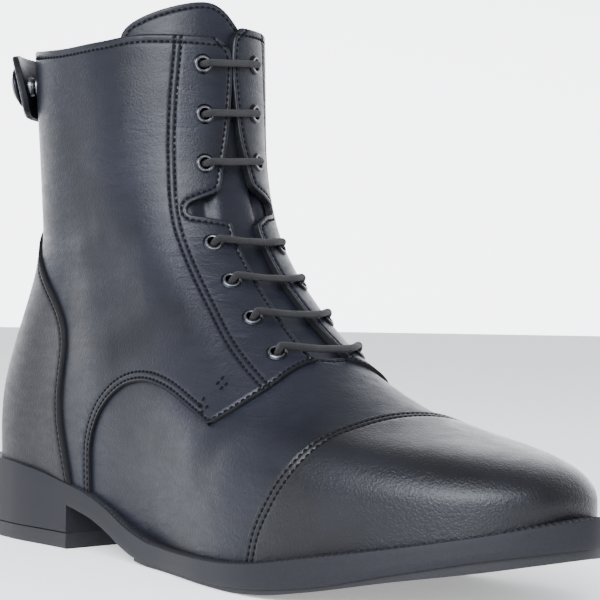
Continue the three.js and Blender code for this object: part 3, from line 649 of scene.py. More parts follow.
def shell(name, skin, outer, inner, looks, inked=None):
    """A closed sheet between two heights over the form; looks are for its face, cut edge and back."""
    points, faces = skin
    count = len(points)
    normals = points[:, 3:6] / np.linalg.norm(points[:, 3:6], axis=1, keepdims=True)
    vertices = np.vstack([points[:, :3] + normals * height[:, None] for height in (outer, inner)])
    directed = np.vstack([faces[:, (0, 1)], faces[:, (1, 2)], faces[:, (2, 0)]])
    codes = directed[:, 0] * count + directed[:, 1]
    open_edges = directed[~np.isin(codes, directed[:, 1] * count + directed[:, 0])]
    a, b = open_edges[:, 0], open_edges[:, 1]
    walls = np.stack([b, a, a + count, b + count], 1)
    all_faces = [*faces.tolist(), *walls.tolist(), *(faces[:, ::-1] + count).tolist()]
    kinds = np.repeat([0, 1, 2], [len(faces), len(walls), len(faces)])
    if inked is not None:
        kinds[: len(faces)] = inked
    return new_object(name, vertices, all_faces, looks, kinds)


def stitch_shape():
    """One stitch of thread: a short round bead whose ends dip into the leather."""
    sides, sections = 6, 5
    rows = []
    for k in range(sections):
        share = 2 * k / (sections - 1) - 1
        swell = math.sqrt(max(0.0, 1 - abs(share) ** 3)) * 0.92 + 0.08
        for i in range(sides):
            turn = 2 * math.pi * i / sides
            up = 0.34 * swell * math.sin(turn) - 0.2 * share ** 2
            rows.append((0.86 * share, 0.5 * swell * math.cos(turn), up))
    faces = [
        (k * sides + i, k * sides + (i + 1) % sides, (k + 1) * sides + (i + 1) % sides, (k + 1) * sides + i)
        for k in range(sections - 1)
        for i in range(sides)
    ]
    faces += [tuple(range(sides))[::-1], tuple((sections - 1) * sides + i for i in range(sides))]
    return np.array(rows), [f[::-1] for f in faces]


STITCH = stitch_shape()


def sew(name, runs, look):
    """Stitches along runs of places on the leather, each run a pair of points and normals."""
    vertices, faces = [], []
    for places, normals in runs:
        length = np.r_[0, np.cumsum(np.linalg.norm(np.diff(places, axis=0), axis=1))]
        count = int(round(length[-1] / SEW_PITCH))
        if count < 2:
            continue
        at = (np.arange(count) + 0.5) * length[-1] / count

        def along(values, where):
            return np.stack([np.interp(where, length, values[:, k]) for k in range(3)], 1)

        middle, up = along(places, at), along(normals, at)
        ahead = along(places, at + 0.8) - along(places, at - 0.8)
        ahead /= np.linalg.norm(ahead, axis=1, keepdims=True) + 1e-9
        up -= (up * ahead).sum(1)[:, None] * ahead
        up /= np.linalg.norm(up, axis=1, keepdims=True)
        axes = np.stack([ahead, np.cross(up, ahead), up], 1)
        shape = np.einsum("vk,skj->svj", STITCH[0], axes) + middle[:, None]
        for one in shape:
            start = len(vertices) * len(STITCH[0])
            vertices.append(one)
            faces += [[start + v for v in f] for f in STITCH[1]]
    return new_object(name, np.vstack(vertices), faces, [look], smooth=70)


def stitch_runs(skin, marks, height):
    """The marked rows of a panel as places and normals at the height of its leather."""
    points, faces = skin
    lifted = points[:, :3] + points[:, 3:6] * (height + SEW_LIFT)[:, None]
    runs = []
    for column, until in marks:
        for run in chains(points, faces, column):
            run = [c for c in run if points[c, 0] < until]
            if len(run) > 3:
                runs.append((lifted[run], points[run, 3:6]))
    return runs


def linear(code):
    """A hex sRGB colour as the linear values that the shaders take."""
    parts = [int(code[i : i + 2], 16) / 255 for i in (1, 3, 5)]
    return (*(c / 12.92 if c <= 0.04045 else ((c + 0.055) / 1.055) ** 2.4 for c in parts), 1)


def node(tree, kind, links=None, **settings):
    """Adds a shader node with its settings, and with a value or another node's output at each socket."""
    made = tree.nodes.new("ShaderNode" + kind)
    for name, value in settings.items():
        setattr(made, name, value)
    for socket, value in (links or {}).items():
        if isinstance(value, bpy.types.NodeSocket):
            tree.links.new(value, made.inputs[socket])
        else:
            made.inputs[socket].default_value = value
    return made


def new_material(name):
    """A material with its node tree and its shader."""
    material = bpy.data.materials.new(name)
    material.use_nodes = True
    tree = material.node_tree
    return material, tree, tree.nodes["Principled BSDF"]


PER_MM = 1000.0
# Real sizes in the hide, in mm. Pores of 0.2 mm are drawn at 0.9 mm, the finest that shows at the
# photograph's size
PORE, WRINKLE, SWELL, PATCH = 0.9, 3.0, 12.0, 34.0
# How steeply bumps rise: pores, wrinkles and the hide's low swell, in metres
PORE_RISE, WRINKLE_RISE, SWELL_RISE = 0.0003, 0.0008, 0.0006
# The film of wax polish over the hide
POLISH_ROUGHNESS, POLISH_IOR = 0.3, 1.35
# The same rise for a plain finish and for a braid
GRAIN_RISE, STRAND_RISE = 0.0002, 0.0003


def full_grain_leather(name, dark, light, rough, wrinkle, grain=0.5, coat=0.08, ior=1.3):
    """Black aniline-dyed full-grain leather, polished: a soft broad gloss over pores and fine wrinkles."""
    material, tree, shader = new_material(name)
    place = node(tree, "TexCoord").outputs["Object"]
    pores = node(tree, "TexNoise", {"Vector": place, "Scale": PER_MM / PORE, "Detail": 2.0, "Roughness": 0.6})
    lying = node(tree, "Mapping", {"Vector": place, "Scale": (0.3, 0.3, 1.0)})
    wrinkles = node(tree, "TexNoise", {
        "Vector": lying.outputs["Vector"], "Scale": PER_MM / WRINKLE, "Detail": 4.0, "Roughness": 0.6,
        "Distortion": 0.4,
    })
    patches = node(tree, "TexNoise", {"Vector": place, "Scale": PER_MM / PATCH, "Detail": 3.0})
    worked = node(tree, "MapRange", {"Value": patches.outputs["Fac"], "From Min": 0.35, "From Max": 0.62})
    swell = node(tree, "TexNoise", {"Vector": place, "Scale": PER_MM / SWELL, "Detail": 2.0})
    low = node(tree, "Bump", {"Height": swell.outputs["Fac"], "Strength": 0.3, "Distance": SWELL_RISE})
    strength = node(tree, "Math", {0: worked.outputs["Result"], 1: wrinkle}, operation="MULTIPLY")
    fine = node(tree, "Bump", {
        "Height": wrinkles.outputs["Fac"], "Strength": strength.outputs["Value"], "Distance": WRINKLE_RISE,
        "Normal": low.outputs["Normal"],
    })
    bump = node(tree, "Bump", {
        "Height": pores.outputs["Fac"], "Strength": grain, "Distance": PORE_RISE,
        "Normal": fine.outputs["Normal"],
    })
    tone = node(tree, "ValToRGB", {"Fac": patches.outputs["Fac"]})
    tone.color_ramp.elements[0].position, tone.color_ramp.elements[1].position = 0.35, 0.65
    tone.color_ramp.elements[0].color, tone.color_ramp.elements[1].color = linear(dark), linear(light)
    gloss = node(tree, "MapRange", {
        "Value": wrinkles.outputs["Fac"], "From Min": 0.3, "From Max": 0.7,
        "To Min": rough - 0.05, "To Max": rough + 0.07,
    })
    tree.links.new(tone.outputs["Color"], shader.inputs["Base Color"])
    tree.links.new(gloss.outputs["Result"], shader.inputs["Roughness"])
    tree.links.new(bump.outputs["Normal"], shader.inputs["Normal"])
    shader.inputs["IOR"].default_value = ior
    shader.inputs["Coat Weight"].default_value = coat
    shader.inputs["Coat Roughness"].default_value = POLISH_ROUGHNESS
    shader.inputs["Coat IOR"].default_value = POLISH_IOR
    return material


def speckled(name, dark, light, rough, size, strength, metallic=0.0, ior=1.5):
    """A plain finish with a fine relief: moulded rubber, cut leather, thread or plated metal. Its size is
    the grain in mm, coarser than the real one where that is too fine to show."""
    material, tree, shader = new_material(name)
    place = node(tree, "TexCoord").outputs["Object"]
    relief = node(tree, "TexNoise", {
        "Vector": place, "Scale": PER_MM / size, "Detail": 4.0, "Roughness": 0.6,
    })
    bump = node(tree, "Bump", {"Height": relief.outputs["Fac"], "Strength": strength, "Distance": GRAIN_RISE})
    tone = node(tree, "ValToRGB", {"Fac": relief.outputs["Fac"]})
    tone.color_ramp.elements[0].position, tone.color_ramp.elements[1].position = 0.35, 0.65
    tone.color_ramp.elements[0].color, tone.color_ramp.elements[1].color = linear(dark), linear(light)
    gloss = node(tree, "MapRange", {
        "Value": relief.outputs["Fac"], "To Min": rough - 0.08, "To Max": rough + 0.08,
    })
    tree.links.new(tone.outputs["Color"], shader.inputs["Base Color"])
    tree.links.new(gloss.outputs["Result"], shader.inputs["Roughness"])
    tree.links.new(bump.outputs["Normal"], shader.inputs["Normal"])
    shader.inputs["Metallic"].default_value = metallic
    if not metallic:
        shader.inputs["IOR"].default_value = ior
    return material


# A Wave texture of scale 0.31 repeats once over a length of one
WAVES_PER_STRAND = 0.31
BRAID_TURN = math.radians(38)


def braided(name, dark, light, strand):
    """A round braid or a woven tape: strands that cross at a slant, read from the piece's own UV in mm, with
    painted shade in the grooves between them.
    """
    material, tree, shader = new_material(name)
    uv = node(tree, "UVMap", uv_map="length_and_turn").outputs["UV"]
    heights = []
    for turn in (BRAID_TURN, -BRAID_TURN):
        turned = node(tree, "Mapping", {"Vector": uv, "Rotation": (0, 0, turn)})
        wave = node(tree, "TexWave", {
            "Vector": turned.outputs["Vector"], "Scale": WAVES_PER_STRAND / strand, "Distortion": 0.0,
        })
        heights.append(wave.outputs["Fac"])
    crossed = node(tree, "Math", {0: heights[0], 1: heights[1]}, operation="MAXIMUM")
    bump = node(tree, "Bump", {"Height": crossed.outputs["Value"], "Strength": 0.9, "Distance": STRAND_RISE})
    # The colour follows the strands' height: darker in the grooves between them as painted shade, lighter on
    # their crests
    tone = node(tree, "ValToRGB", {"Fac": crossed.outputs["Value"]})
    tone.color_ramp.elements[0].color, tone.color_ramp.elements[1].color = linear(dark), linear(light)
    tree.links.new(tone.outputs["Color"], shader.inputs["Base Color"])
    tree.links.new(bump.outputs["Normal"], shader.inputs["Normal"])
    shader.inputs["Roughness"].default_value = 0.6
    shader.inputs["Sheen Weight"].default_value = 0.06
    shader.inputs["IOR"].default_value = 1.35
    return material


# Aniline-dyed cowhide, polished: a broad soft gloss that breaks up over fine lying wrinkles
LEATHER = full_grain_leather("full_grain_leather_polished", "#0c0d13", "#14161e", rough=0.4, wrinkle=0.62)
# The same hide over a stiffener, burnished with wax: a tighter, brighter gloss over even pores
TOE_LEATHER = full_grain_leather(
    "full_grain_leather_burnished_toe", "#09090c", "#111217", rough=0.36, wrinkle=0.14, grain=0.9, coat=0.2
)
# The hide over the heel's stiffener, left as finished: a duller, even sheen with hardly a wrinkle
HEEL_LEATHER = full_grain_leather(
    "full_grain_leather_stiffened_counter", "#101013", "#18181c", rough=0.46, wrinkle=0.2, grain=0.6
)
# Leather cut by knife and inked: a dull black line round every panel
CUT_EDGE = speckled("leather_edge_inked", "#030304", "#0a0a0d", rough=0.7, size=0.7, strength=0.8, ior=1.25)
# Dyed pigskin without a finish: matt and slightly warm, with open pores
LINING = full_grain_leather(
    "pigskin_lining_matt", "#141314", "#1c1b1c", rough=0.65, wrinkle=0.2, grain=0.8, coat=0.0, ior=1.35
)
# Thermoplastic rubber from an eroded mould: an even dull sheen with a fine texture
RUBBER = speckled(
    "thermoplastic_rubber_moulded", "#121216", "#1a1a1f", rough=0.55, size=0.6, strength=0.25, ior=1.28
)
# The same rubber, harder and blacker: matt, with a slightly coarser texture
TREAD_RUBBER = speckled(
    "thermoplastic_rubber_tread", "#0e0e11", "#17181c", rough=0.6, size=0.7, strength=0.4, ior=1.4
)
# Bonded polyester thread, waxed: close to black, with hardly a shine
THREAD = speckled("waxed_polyester_thread", "#020203", "#050506", rough=0.75, size=0.3, strength=0.5, ior=1.2)
# Brass, stamped and gunmetal-plated: a dark metal with a satin reflection
GUNMETAL = speckled(
    "brass_gunmetal_plated", "#1e1f22", "#2c2d31", rough=0.34, size=0.8, strength=0.1, metallic=1.0
)
# The same plating in a brighter metal colour, with a sharper reflection: on the eyelets' rims it is a painted
# highlight, and the snap's socket is made of it whole
BRIGHT_PLATING_AND_HIGHLIGHT = speckled(
    "brass_gunmetal_bright_and_painted_highlight", "#55565b", "#77787d", rough=0.28, size=0.5, strength=0.1, metallic=1.0
)
# Brass teeth and a cast slider, blackened: dark metal that glints on its corners
ZIP_METAL = speckled(
    "zip_teeth_blackened", "#232428", "#36373c", rough=0.34, size=0.5, strength=0.1, metallic=1.0
)
# Polyester braided over elastic cores: a matt black cord with a fine slanting braid
LACE = braided("elastic_braided_polyester", "#040405", "#0f0f12", strand=0.4)
# Polyester tape, woven: matt black with a fine twill
TAPE = braided("zip_tape_woven_polyester", "#050507", "#0e0e11", strand=0.6)

# Face, cut edge and back of a panel
LEATHER_SHEET = [LEATHER, CUT_EDGE, LINING]

# How far the vamp reaches under the quarters and the toe cap, and how much wider than an eyelet's bore
# its hole in the leather is
LAP, BARREL_ROOM = 9.0, 0.75


def make_quarters(places):
    """The quarters with their facings, from the sole to the collar, round both sides of the shaft."""
    edges = [
        Edge(feather_field),
        Edge(collar_field, 1.1, [3.0]),
        Edge(quarter_field, 0.5, [1.6, 3.9], inked=0.55, second_until=QUARTER_CORNER - 6),
        Edge(throat_field, 0.6, [2.0]),
        Edge(slot_field(ZIP_WIDTH, ZIP_BOTTOM), 0.5, [1.8]),
        Edge(facing_field, 0.0, [0.0, 2.5], cuts=False),
    ]
    barrel = EYELET_HOLE / 2 + BARREL_ROOM
    holes = [ring_field(place, normal, barrel) for place, normal in places.values()]
    skin, marks = cut_panel(crop((-60, -90, 0), (230, 90, 260)), edges, holes)
    height = leather_height(skin[0], edges, 0.0)
    collar = collar_field(skin[0])
    inner = -WALL + 0.7 * (1 - np.clip(collar / 1.1, 0, 1)) ** 2
    inked = inked_faces(skin, edges)
    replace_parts(shell("quarters", skin, height, inner, LEATHER_SHEET, inked), "upper")
    sew("quarter_stitches", stitch_runs(skin, marks, height) + tack_runs(), THREAD)


# Short double rows of stitches that lock the seams' ends by the quarter's tip, as x and z from the side
TACKS = [
    ((175.8, 71.0), (174.7, 69.3)), ((178.5, 69.0), (177.2, 67.6)),
    ((171.4, 63.5), (170.9, 61.4)), ((174.8, 60.9), (173.6, 59.1)),
]
TACK_LIFT = 0.2


def tack_runs():
    """The tacks of both sides as places and normals on the leather."""
    runs = []
    for side in (-1, 1):
        for ends in TACKS:
            found = np.array([np.hstack(on_form((x, side * 200, z), (0, -side, 0))) for x, z in ends])
            places = found[:, :3] + found[:, 3:] * (crease_height(found) + TACK_LIFT)[:, None]
            reach = (places[1] - places[0]) / 2
            runs.append((np.array([places[0] - reach, places[1] + reach]), found[:, 3:]))
    return runs


def ring_field(place, normal, radius):
    """The distance from a round hole through the leather at a place."""

    def field(rows):
        away = rows[:, :3] - place
        through = away @ normal
        across = np.linalg.norm(away - through[:, None] * normal, axis=1)
        return np.where(np.abs(through) < 4 * radius, across - radius, DEEP)

    return field


def make_vamp():
    """The vamp, which runs on under the quarters and the toe cap."""
    edges = [
        Edge(feather_field),
        Edge(lambda rows: LAP - quarter_field(rows)),
        Edge(lambda rows: LAP - cap_field(rows)),
        Edge(vamp_top_field, 0.5, [2.0]),
    ]
    skin, marks = cut_panel(crop((60, -90, 0), (300, 90, 110)), edges)
    height = leather_height(skin[0], edges, -OVERLAY)
    inner = np.full(len(height), -WALL - 0.1)
    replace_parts(shell("vamp", skin, height, inner, LEATHER_SHEET), "upper")
    sew("vamp_stitches", stitch_runs(skin, marks, height), THREAD)


def make_toe_cap():
    """The toe cap, sewn over the vamp with two rows."""
    edges = [Edge(feather_field), Edge(cap_field, 0.45, [1.6, 3.9])]
    skin, marks = cut_panel(crop((180, -90, 0), (340, 90, 90)), edges)
    height = leather_height(skin[0], edges, 0.0)
    looks = [TOE_LEATHER, CUT_EDGE, LINING]
    piece = shell("toe_cap_leather", skin, height, height * 0 - OVERLAY - 0.1, looks)
    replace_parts(piece, "toe_cap")
    sew("toe_cap_stitches", stitch_runs(skin, marks, height), THREAD)


# The seam between the counter's two halves
BACK_SEAM = 0.3


def make_counter():
    """The counter round the heel, with a wide inked edge and a seam up the middle of the back."""
    edges = [
        Edge(feather_field),
        Edge(counter_field, 0.55, [3.4], inked=2.1),
        Edge(slot_field(ZIP_WIDTH, ZIP_BOTTOM), 0.5, [1.8]),
        Edge(slot_field(BACK_SEAM, -50), BACK_SEAM),
    ]
    skin, marks = cut_panel(crop((-60, -90, 0), (100, 90, 175)), edges)
    height = leather_height(skin[0], edges, COUNTER_THICK)
    looks = [HEEL_LEATHER, CUT_EDGE, LINING]
    piece = shell("counter_leather", skin, height, height * 0 - 0.1, looks, inked_faces(skin, edges))
    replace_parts(piece, "counter_right", "counter_left")
    sew("counter_stitches", stitch_runs(skin, marks, height), THREAD)


def tongue_outline():
    """The tongue from the front, its leaning top rounded over."""
    up = np.linspace(TONGUE_SIDE[0, 0], TONGUE_SIDE[-1, 0], 120)
    right = np.stack([-table_at(TONGUE_SIDE, 1, up) * BALL_WIDTH, up * BOOT_HEIGHT], 1)
    left = np.stack([table_at(TONGUE_SIDE, 2, up) * BALL_WIDTH, up * BOOT_HEIGHT], 1)
    crown = np.linspace(right[-1], left[-1], 14)[1:-1]
    line = np.vstack([right, crown, left[::-1]])
    for _ in range(26):
        line[60:-60] = (line[59:-61] + 2 * line[60:-60] + line[61:-59]) / 4
    return line


# How deep and how widely the lace presses the tongue down
LACE_DENT, DENT_SPREAD = 2.8, 4.0


def make_tongue(places):
    """The tongue under the facings, pressed down where the lace runs behind them."""
    inside = outline_field(tongue_outline(), FRONT)

    def field(rows):
        return np.where(rows[:, 0] > FRONT_FROM, inside(rows), -DEEP)

    edges = [Edge(field, 0.7, [2.2])]
    skin, marks = cut_panel(crop((90, -60, 60), (230, 60, 235)), edges)
    points = skin[0]
    height = leather_height(points, edges, -WALL - SEAT)
    for side in (-1, 1):
        route = np.array([places[n, side][0] for n in range(1, 8)])
        nearest = np.full(len(points), 1e9)
        for a, b in zip(route, route[1:]):
            t = np.clip(((points[:, :3] - a) @ (b - a)) / ((b - a) ** 2).sum(), 0, 1)
            nearest = np.minimum(nearest, np.linalg.norm(points[:, :3] - a - t[:, None] * (b - a), axis=1))
        height -= LACE_DENT * np.exp(-((nearest / DENT_SPREAD) ** 2))
    inner = height - TONGUE_THICK
    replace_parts(shell("tongue_leather", skin, height, inner, LEATHER_SHEET), "tongue")
    sew("tongue_stitches", stitch_runs(skin, marks, height), THREAD)


def make_insole():
    """The footbed: the inside of the form cut off just above the sole, drawn across from side to side."""
    x = np.linspace(0.028, 0.965, 120) * SOLE_LENGTH
    floor = sole_top(x) + SEAT + INSOLE_THICK
    rows = []
    for at, z in zip(x, floor):
        ends = []
        for side in (-1, 1):
            place, normal = on_form((at, side * 200, z), (0, -side, 0))
            ends.append(place[1] - side * (WALL + SEAT) / max(0.35, abs(normal[1])))
        rows.append([ends[0], ends[1]] if ends[1] > ends[0] else [sum(ends) / 2] * 2)
    rows = np.array(rows)
    across = np.linspace(0, 1, 15)
    top = [
        (at, a + (b - a) * s, z + 0.6 * (2 * s - 1) ** 4)
        for at, z, (a, b) in zip(x, floor, rows)
        for s in across
    ]
    count, wide = len(x), len(across)
    low = [(px, py, pz - INSOLE_THICK) for px, py, pz in top]
    faces = []
    for k in range(count - 1):
        for i in range(wide - 1):
            a = k * wide + i
            faces += [(a, a + wide, a + wide + 1, a + 1)]
            faces += [tuple(v + len(top) for v in (a + 1, a + wide + 1, a + wide, a))]
    rim = [*range(wide), *(k * wide + wide - 1 for k in range(1, count))]
    rim += [(count - 1) * wide + i for i in range(wide - 2, -1, -1)]
    rim += [k * wide for k in range(count - 2, 0, -1)]
    faces += [(a, b, b + len(top), a + len(top)) for a, b in zip(rim, rim[1:] + rim[:1])]
    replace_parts(new_object("insole_sock", [*top, *low], faces, [LINING]), "insole")


# Sole: stations along its length, each with a point on the right and left of the outline
def outline_curve():
    """The outline of the sole from above as a closed smooth line, through its table's points."""
    right = np.stack([SOLE_OUTLINE[:, 0] * SOLE_LENGTH, -SOLE_OUTLINE[:, 1] * BALL_WIDTH], 1)
    left = np.stack([SOLE_OUTLINE[:, 0] * SOLE_LENGTH, SOLE_OUTLINE[:, 2] * BALL_WIDTH], 1)[-2:0:-1]
    knots = np.vstack([right, left])
    count = len(knots)
    line = []
    for n in range(count):
        p = [knots[(n + k) % count] for k in (-1, 0, 1, 2)]
        gap = [max(1e-4, np.linalg.norm(b - a)) ** 0.5 for a, b in zip(p, p[1:])]
        first = ((p[1] - p[0]) / gap[0] - (p[2] - p[0]) / (gap[0] + gap[1]) + (p[2] - p[1]) / gap[1]) * gap[1]
        last = ((p[2] - p[1]) / gap[1] - (p[3] - p[1]) / (gap[1] + gap[2]) + (p[3] - p[2]) / gap[2]) * gap[1]
        for t in np.linspace(0, 1, 60, endpoint=False):
            line.append(
                p[1] + t * first + t * t * (3 * (p[2] - p[1]) - 2 * first - last)
                + t ** 3 * (2 * (p[1] - p[2]) + first + last)
            )
    return np.array(line)


OUTLINE = outline_curve()
TIP = OUTLINE[:, 0].argmax()


def outline_sides():
    """Both sides of the outline from heel to toe, with the inward direction and the length so far."""
    ahead = np.roll(OUTLINE, -3, 0) - np.roll(OUTLINE, 3, 0)
    ahead /= np.linalg.norm(ahead, axis=1, keepdims=True)
    inward = np.stack([-ahead[:, 1], ahead[:, 0]], 1)
    both = np.hstack([OUTLINE, inward])
    right = both[: TIP + 1]
    left = np.vstack([both[TIP:], both[:1]])[::-1]
    return right, left


def stations_between(start, end, steps, spacing):
    """Places along the sole, closer together at a rounded end, twice where a step is."""
    t = (1 - np.cos(np.pi * np.arange(int(SOLE_LENGTH / spacing) + 1) / int(SOLE_LENGTH / spacing))) / 2
    x = t * OUTLINE[TIP, 0]
    x = np.r_[start, x[(x > start) & (x < end)], end]
    places = [(at, int(np.searchsorted(steps, at, side="right"))) for at in x if at not in steps]
    places += [(at, n) for n, at in enumerate(steps) if start <= at <= end]
    places += [(at, n + 1) for n, at in enumerate(steps) if start <= at <= end]
    return sorted(places)


def sole_layer(name, node_name, stations, section, looks, smooth=40.0):
    """A layer of the sole. A section lists, from its top middle to its bottom middle, how far in
    each line lies and how high, for a station and the length along the edge."""
    count = len(stations)
    at = np.array([s[0] for s in stations])
    zone = np.array([s[1] for s in stations])
    grids = []
    for side in outline_sides():
        x = side[:, 0] + np.arange(len(side)) * 1e-9
        run = np.r_[0, np.cumsum(np.linalg.norm(np.diff(side[:, :2], axis=0), axis=1))]
        order = np.maximum.accumulate(x)
        values = [np.interp(at, order, side[:, k]) for k in range(1, 4)]
        length = np.interp(at, order, run)
        inset, height, kinds = section(at, zone, length)
        px = at[None] + values[1][None] * inset
        py = values[0][None] + values[2][None] * inset
        grids.append(np.stack([px, py, height(px)], 2))
    rows = len(grids[0])
    vertices = np.vstack([g.reshape(-1, 3) for g in grids])
    offset = rows * count
    faces, looks_of = [], []
    for r in range(rows - 1):
        for j in range(count - 1):
            a, b, c, d = r * count + j, r * count + j + 1, (r + 1) * count + j + 1, (r + 1) * count + j
            faces += [(a, d, c, b), tuple(offset + v for v in (a, b, c, d))]
            looks_of += [kinds[r]] * 2
    last = (rows - 1) * count
    for j in range(count - 1):
        faces.append((j, j + 1, offset + j + 1, offset + j))
        faces.append((last + j, offset + last + j, offset + last + j + 1, last + j + 1))
        looks_of += [kinds[0], kinds[-1]]
    for j, flip in ((0, False), (count - 1, True)):
        for r in range(rows - 1):
            quad = (r * count + j, offset + r * count + j, offset + (r + 1) * count + j, (r + 1) * count + j)
            faces.append(quad[::-1] if flip else quad)
            looks_of.append(kinds[r])
    piece = new_object(name, vertices, faces, looks, looks_of, smooth)
    tidy_mesh(piece)
    bpy.context.view_layer.objects.active = piece
    piece.select_set(True)
    bpy.ops.object.shade_smooth_by_angle(angle=math.radians(smooth))
    piece.select_set(False)
    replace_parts(piece, node_name)
    return piece


def tidy_mesh(piece):
    """Merges what meets at the ends of a piece and turns its faces outwards."""
    bpy.ops.object.select_all(action="DESELECT")
    bpy.context.view_layer.objects.active = piece
    piece.select_set(True)
    bpy.ops.object.mode_set(mode="EDIT")
    bpy.ops.mesh.select_all(action="SELECT")
    bpy.ops.mesh.remove_doubles(threshold=2e-6)
    bpy.ops.mesh.normals_make_consistent(inside=False)
    bpy.ops.object.mode_set(mode="OBJECT")
    piece.select_set(False)


# The knurl on the welt's ledge, which starts ahead of the heel
KNURL_PITCH, KNURL_DEPTH, KNURL_FROM, KNURL_FADE = 2.3, 0.75, 60, 25


def make_sole_unit():
    """The moulded unit: a knurled ledge inside a crisp rim, the side wall, the shank and the heel."""

    def section(at, zone, length):
        heel = zone == 0
        low = np.where(heel, TOP_LIFT + SEAT, sole_under(at))
        top = sole_top(at)
        wave = 0.5 - 0.5 * np.cos(2 * np.pi * length / KNURL_PITCH)
        rib = KNURL_DEPTH * wave * np.clip((at - KNURL_FROM) / KNURL_FADE, 0, 1)
        lines = [
            (7.0, top - 0.4, 0), (3.0, top - 0.4 + rib, 1), (1.6, top - 0.4 + rib, 1),
            (1.05, top - 0.45 + 0.6 * rib, 1), (0.7, top - 0.5, 1), (0.45, top - 0.25, 0),
            (0.2, top - 0.2, 0), (0.04, top - 0.35, 0), (0.0, top - 0.7, 0),
            (0.0, 0.3 * low + 0.7 * top, 0), (0.0, 0.6 * low + 0.4 * top, 0),
            (0.0, low + 0.9, 0), (0.25, low + 0.25, 0), (0.9, low, 0), (7.0, low, 0),
        ]
        inset = np.array([line[0] + np.zeros(len(at)) for line in lines])
        offsets = np.array([line[1] for line in lines])
        return inset, lambda px: offsets, [line[2] for line in lines]

    stations = stations_between(0.0, OUTLINE[TIP, 0], [HEEL_LENGTH], 0.36)
    sole_layer("sole_unit_moulded", "sole_unit", stations, section, [RUBBER, TREAD_RUBBER])


def lug_steps(first, count):
    """Where the lugs begin and end along the sole."""
    return [edge for n in range(count) for edge in (first + n * LUG_PITCH, first + n * LUG_PITCH + LUG_WIDTH)]


def make_tread():
    """The thin tread under the forefoot, set in from the edge, with straight lugs."""
    rear = TREAD_SIDE[0, 0] * SOLE_LENGTH

    def section(at, zone, _):
        low = HEEL_HEIGHT * table_at(TREAD_SIDE, 1, at / SOLE_LENGTH)
        top = sole_under(at) - 0.02
        inner = low + LUG_DEPTH * (zone % 2)
        lines = [
            (TREAD_INSET + 6, top), (TREAD_INSET + 0.1, top),
            (TREAD_INSET, low + 0.5), (TREAD_INSET + 0.3, low),
            (TREAD_INSET + LUG_MARGIN, low), (TREAD_INSET + LUG_MARGIN + 0.2, inner),
        ]
        inset = np.array([line[0] + np.zeros(len(at)) for line in lines])
        return inset, lambda px: np.array([line[1] for line in lines]), [0] * len(lines)

    stations = stations_between(rear, OUTLINE[TIP, 0], lug_steps(rear + LUG_PITCH, 9), 0.8)
    sole_layer("tread_rubber", "tread", stations, section, [TREAD_RUBBER])


def make_top_lift():
    """The heel's bottom lift, with the same lugs."""

    def section(at, zone, _):
        groove = LUG_DEPTH * (zone % 2)
        flat = np.zeros(len(at))
        lines = [
            (6, flat + TOP_LIFT + SEAT), (0.35, flat + TOP_LIFT + 0.1), (0.1, flat + TOP_LIFT - 0.4),
            (0, flat + 3), (0, flat + 0.7), (0.25, flat + 0.2), (0.8, flat), (TREAD_INSET + LUG_MARGIN, flat),
            (TREAD_INSET + LUG_MARGIN + 0.2, groove),
        ]
        inset = np.array([line[0] + flat for line in lines])
        return inset, lambda px: np.array([line[1] for line in lines]), [0] * len(lines)

    stations = stations_between(0.0, HEEL_LENGTH, lug_steps(0.75 * LUG_PITCH, 4), 0.6)
    sole_layer("top_lift_rubber", "top_lift", stations, section, [TREAD_RUBBER])


# Turned and swept pieces
def frame_at(place, normal):
    """Two directions across a normal, so that turned pieces stand on the leather."""
    side = np.cross(normal, (0, 0, 1))
    side /= np.linalg.norm(side)
    return place, side, np.cross(side, normal), normal


def turned(name, profile, place, normal, looks, kinds=None, sides=40):
    """A ring or disc turned from a closed profile of radius and height over a place on the leather."""
    origin, across, up, out = frame_at(place, normal)
    angle = 2 * np.pi * np.arange(sides) / sides
    spokes = np.cos(angle)[:, None] * across + np.sin(angle)[:, None] * up
    vertices = np.vstack([origin + spokes * r + out * h for r, h in profile])
    rows = len(profile)
    faces, looks_of = [], []
    for r in range(rows):
        after = (r + 1) % rows
        if profile[r][0] == 0 and profile[after][0] == 0:
            continue
        for i in range(sides):
            j = (i + 1) % sides
            faces.append((r * sides + i, r * sides + j, after * sides + j, after * sides + i))
            looks_of.append(kinds[r] if kinds else 0)
    piece = new_object(name, vertices, faces, looks, looks_of)
    tidy_mesh(piece)
    return piece


def eyelet_places():
    """Each eyelet's place and normal, by its number from the top and its side."""
    places = {}
    for n, (up, out) in enumerate(EYELETS, 1):
        for side in (-1, 1):
            rise = LEFT_RISE if side > 0 and up > NOTCH_FROM else 0
            places[n, side] = from_front(side * out * BALL_WIDTH, up * BOOT_HEIGHT + rise)
    return places


EYELET_RISE = 0.98


def make_eyelets(places):
    """Rolled eyelets: a domed flange, a painted highlight of brighter metal on the rim round the hole, and a
    barrel through the wall.
    """
    hole, flange = EYELET_HOLE / 2, EYELET_FLANGE / 2
    # radius, height
    profile = [
        (hole, -WALL), (hole + 0.35, -WALL), (hole + 0.35, 0.0), (flange - 0.1, -0.05), (flange, 0.12),
        (flange - 0.25, 0.42), (flange - 0.75, 0.72), (hole + 0.75, 0.95), (hole + 0.4, EYELET_RISE),
        (hole + 0.12, 0.86),
        (hole, 0.55), (hole - 0.02, 0.1),
    ]
    # 1 marks the faces of the rim round the hole, in the brighter metal that paints the highlight there
    kinds = [0, 0, 0, 0, 0, 0, 1, 1, 1, 1, 0, 0]
    for (n, side), (place, normal) in places.items():
        name = f"eyelet_{'right' if side < 0 else 'left'}_{n}"
        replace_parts(turned(f"{name}_rolled", profile, place, normal, [GUNMETAL, BRIGHT_PLATING_AND_HIGHLIGHT], kinds), name)


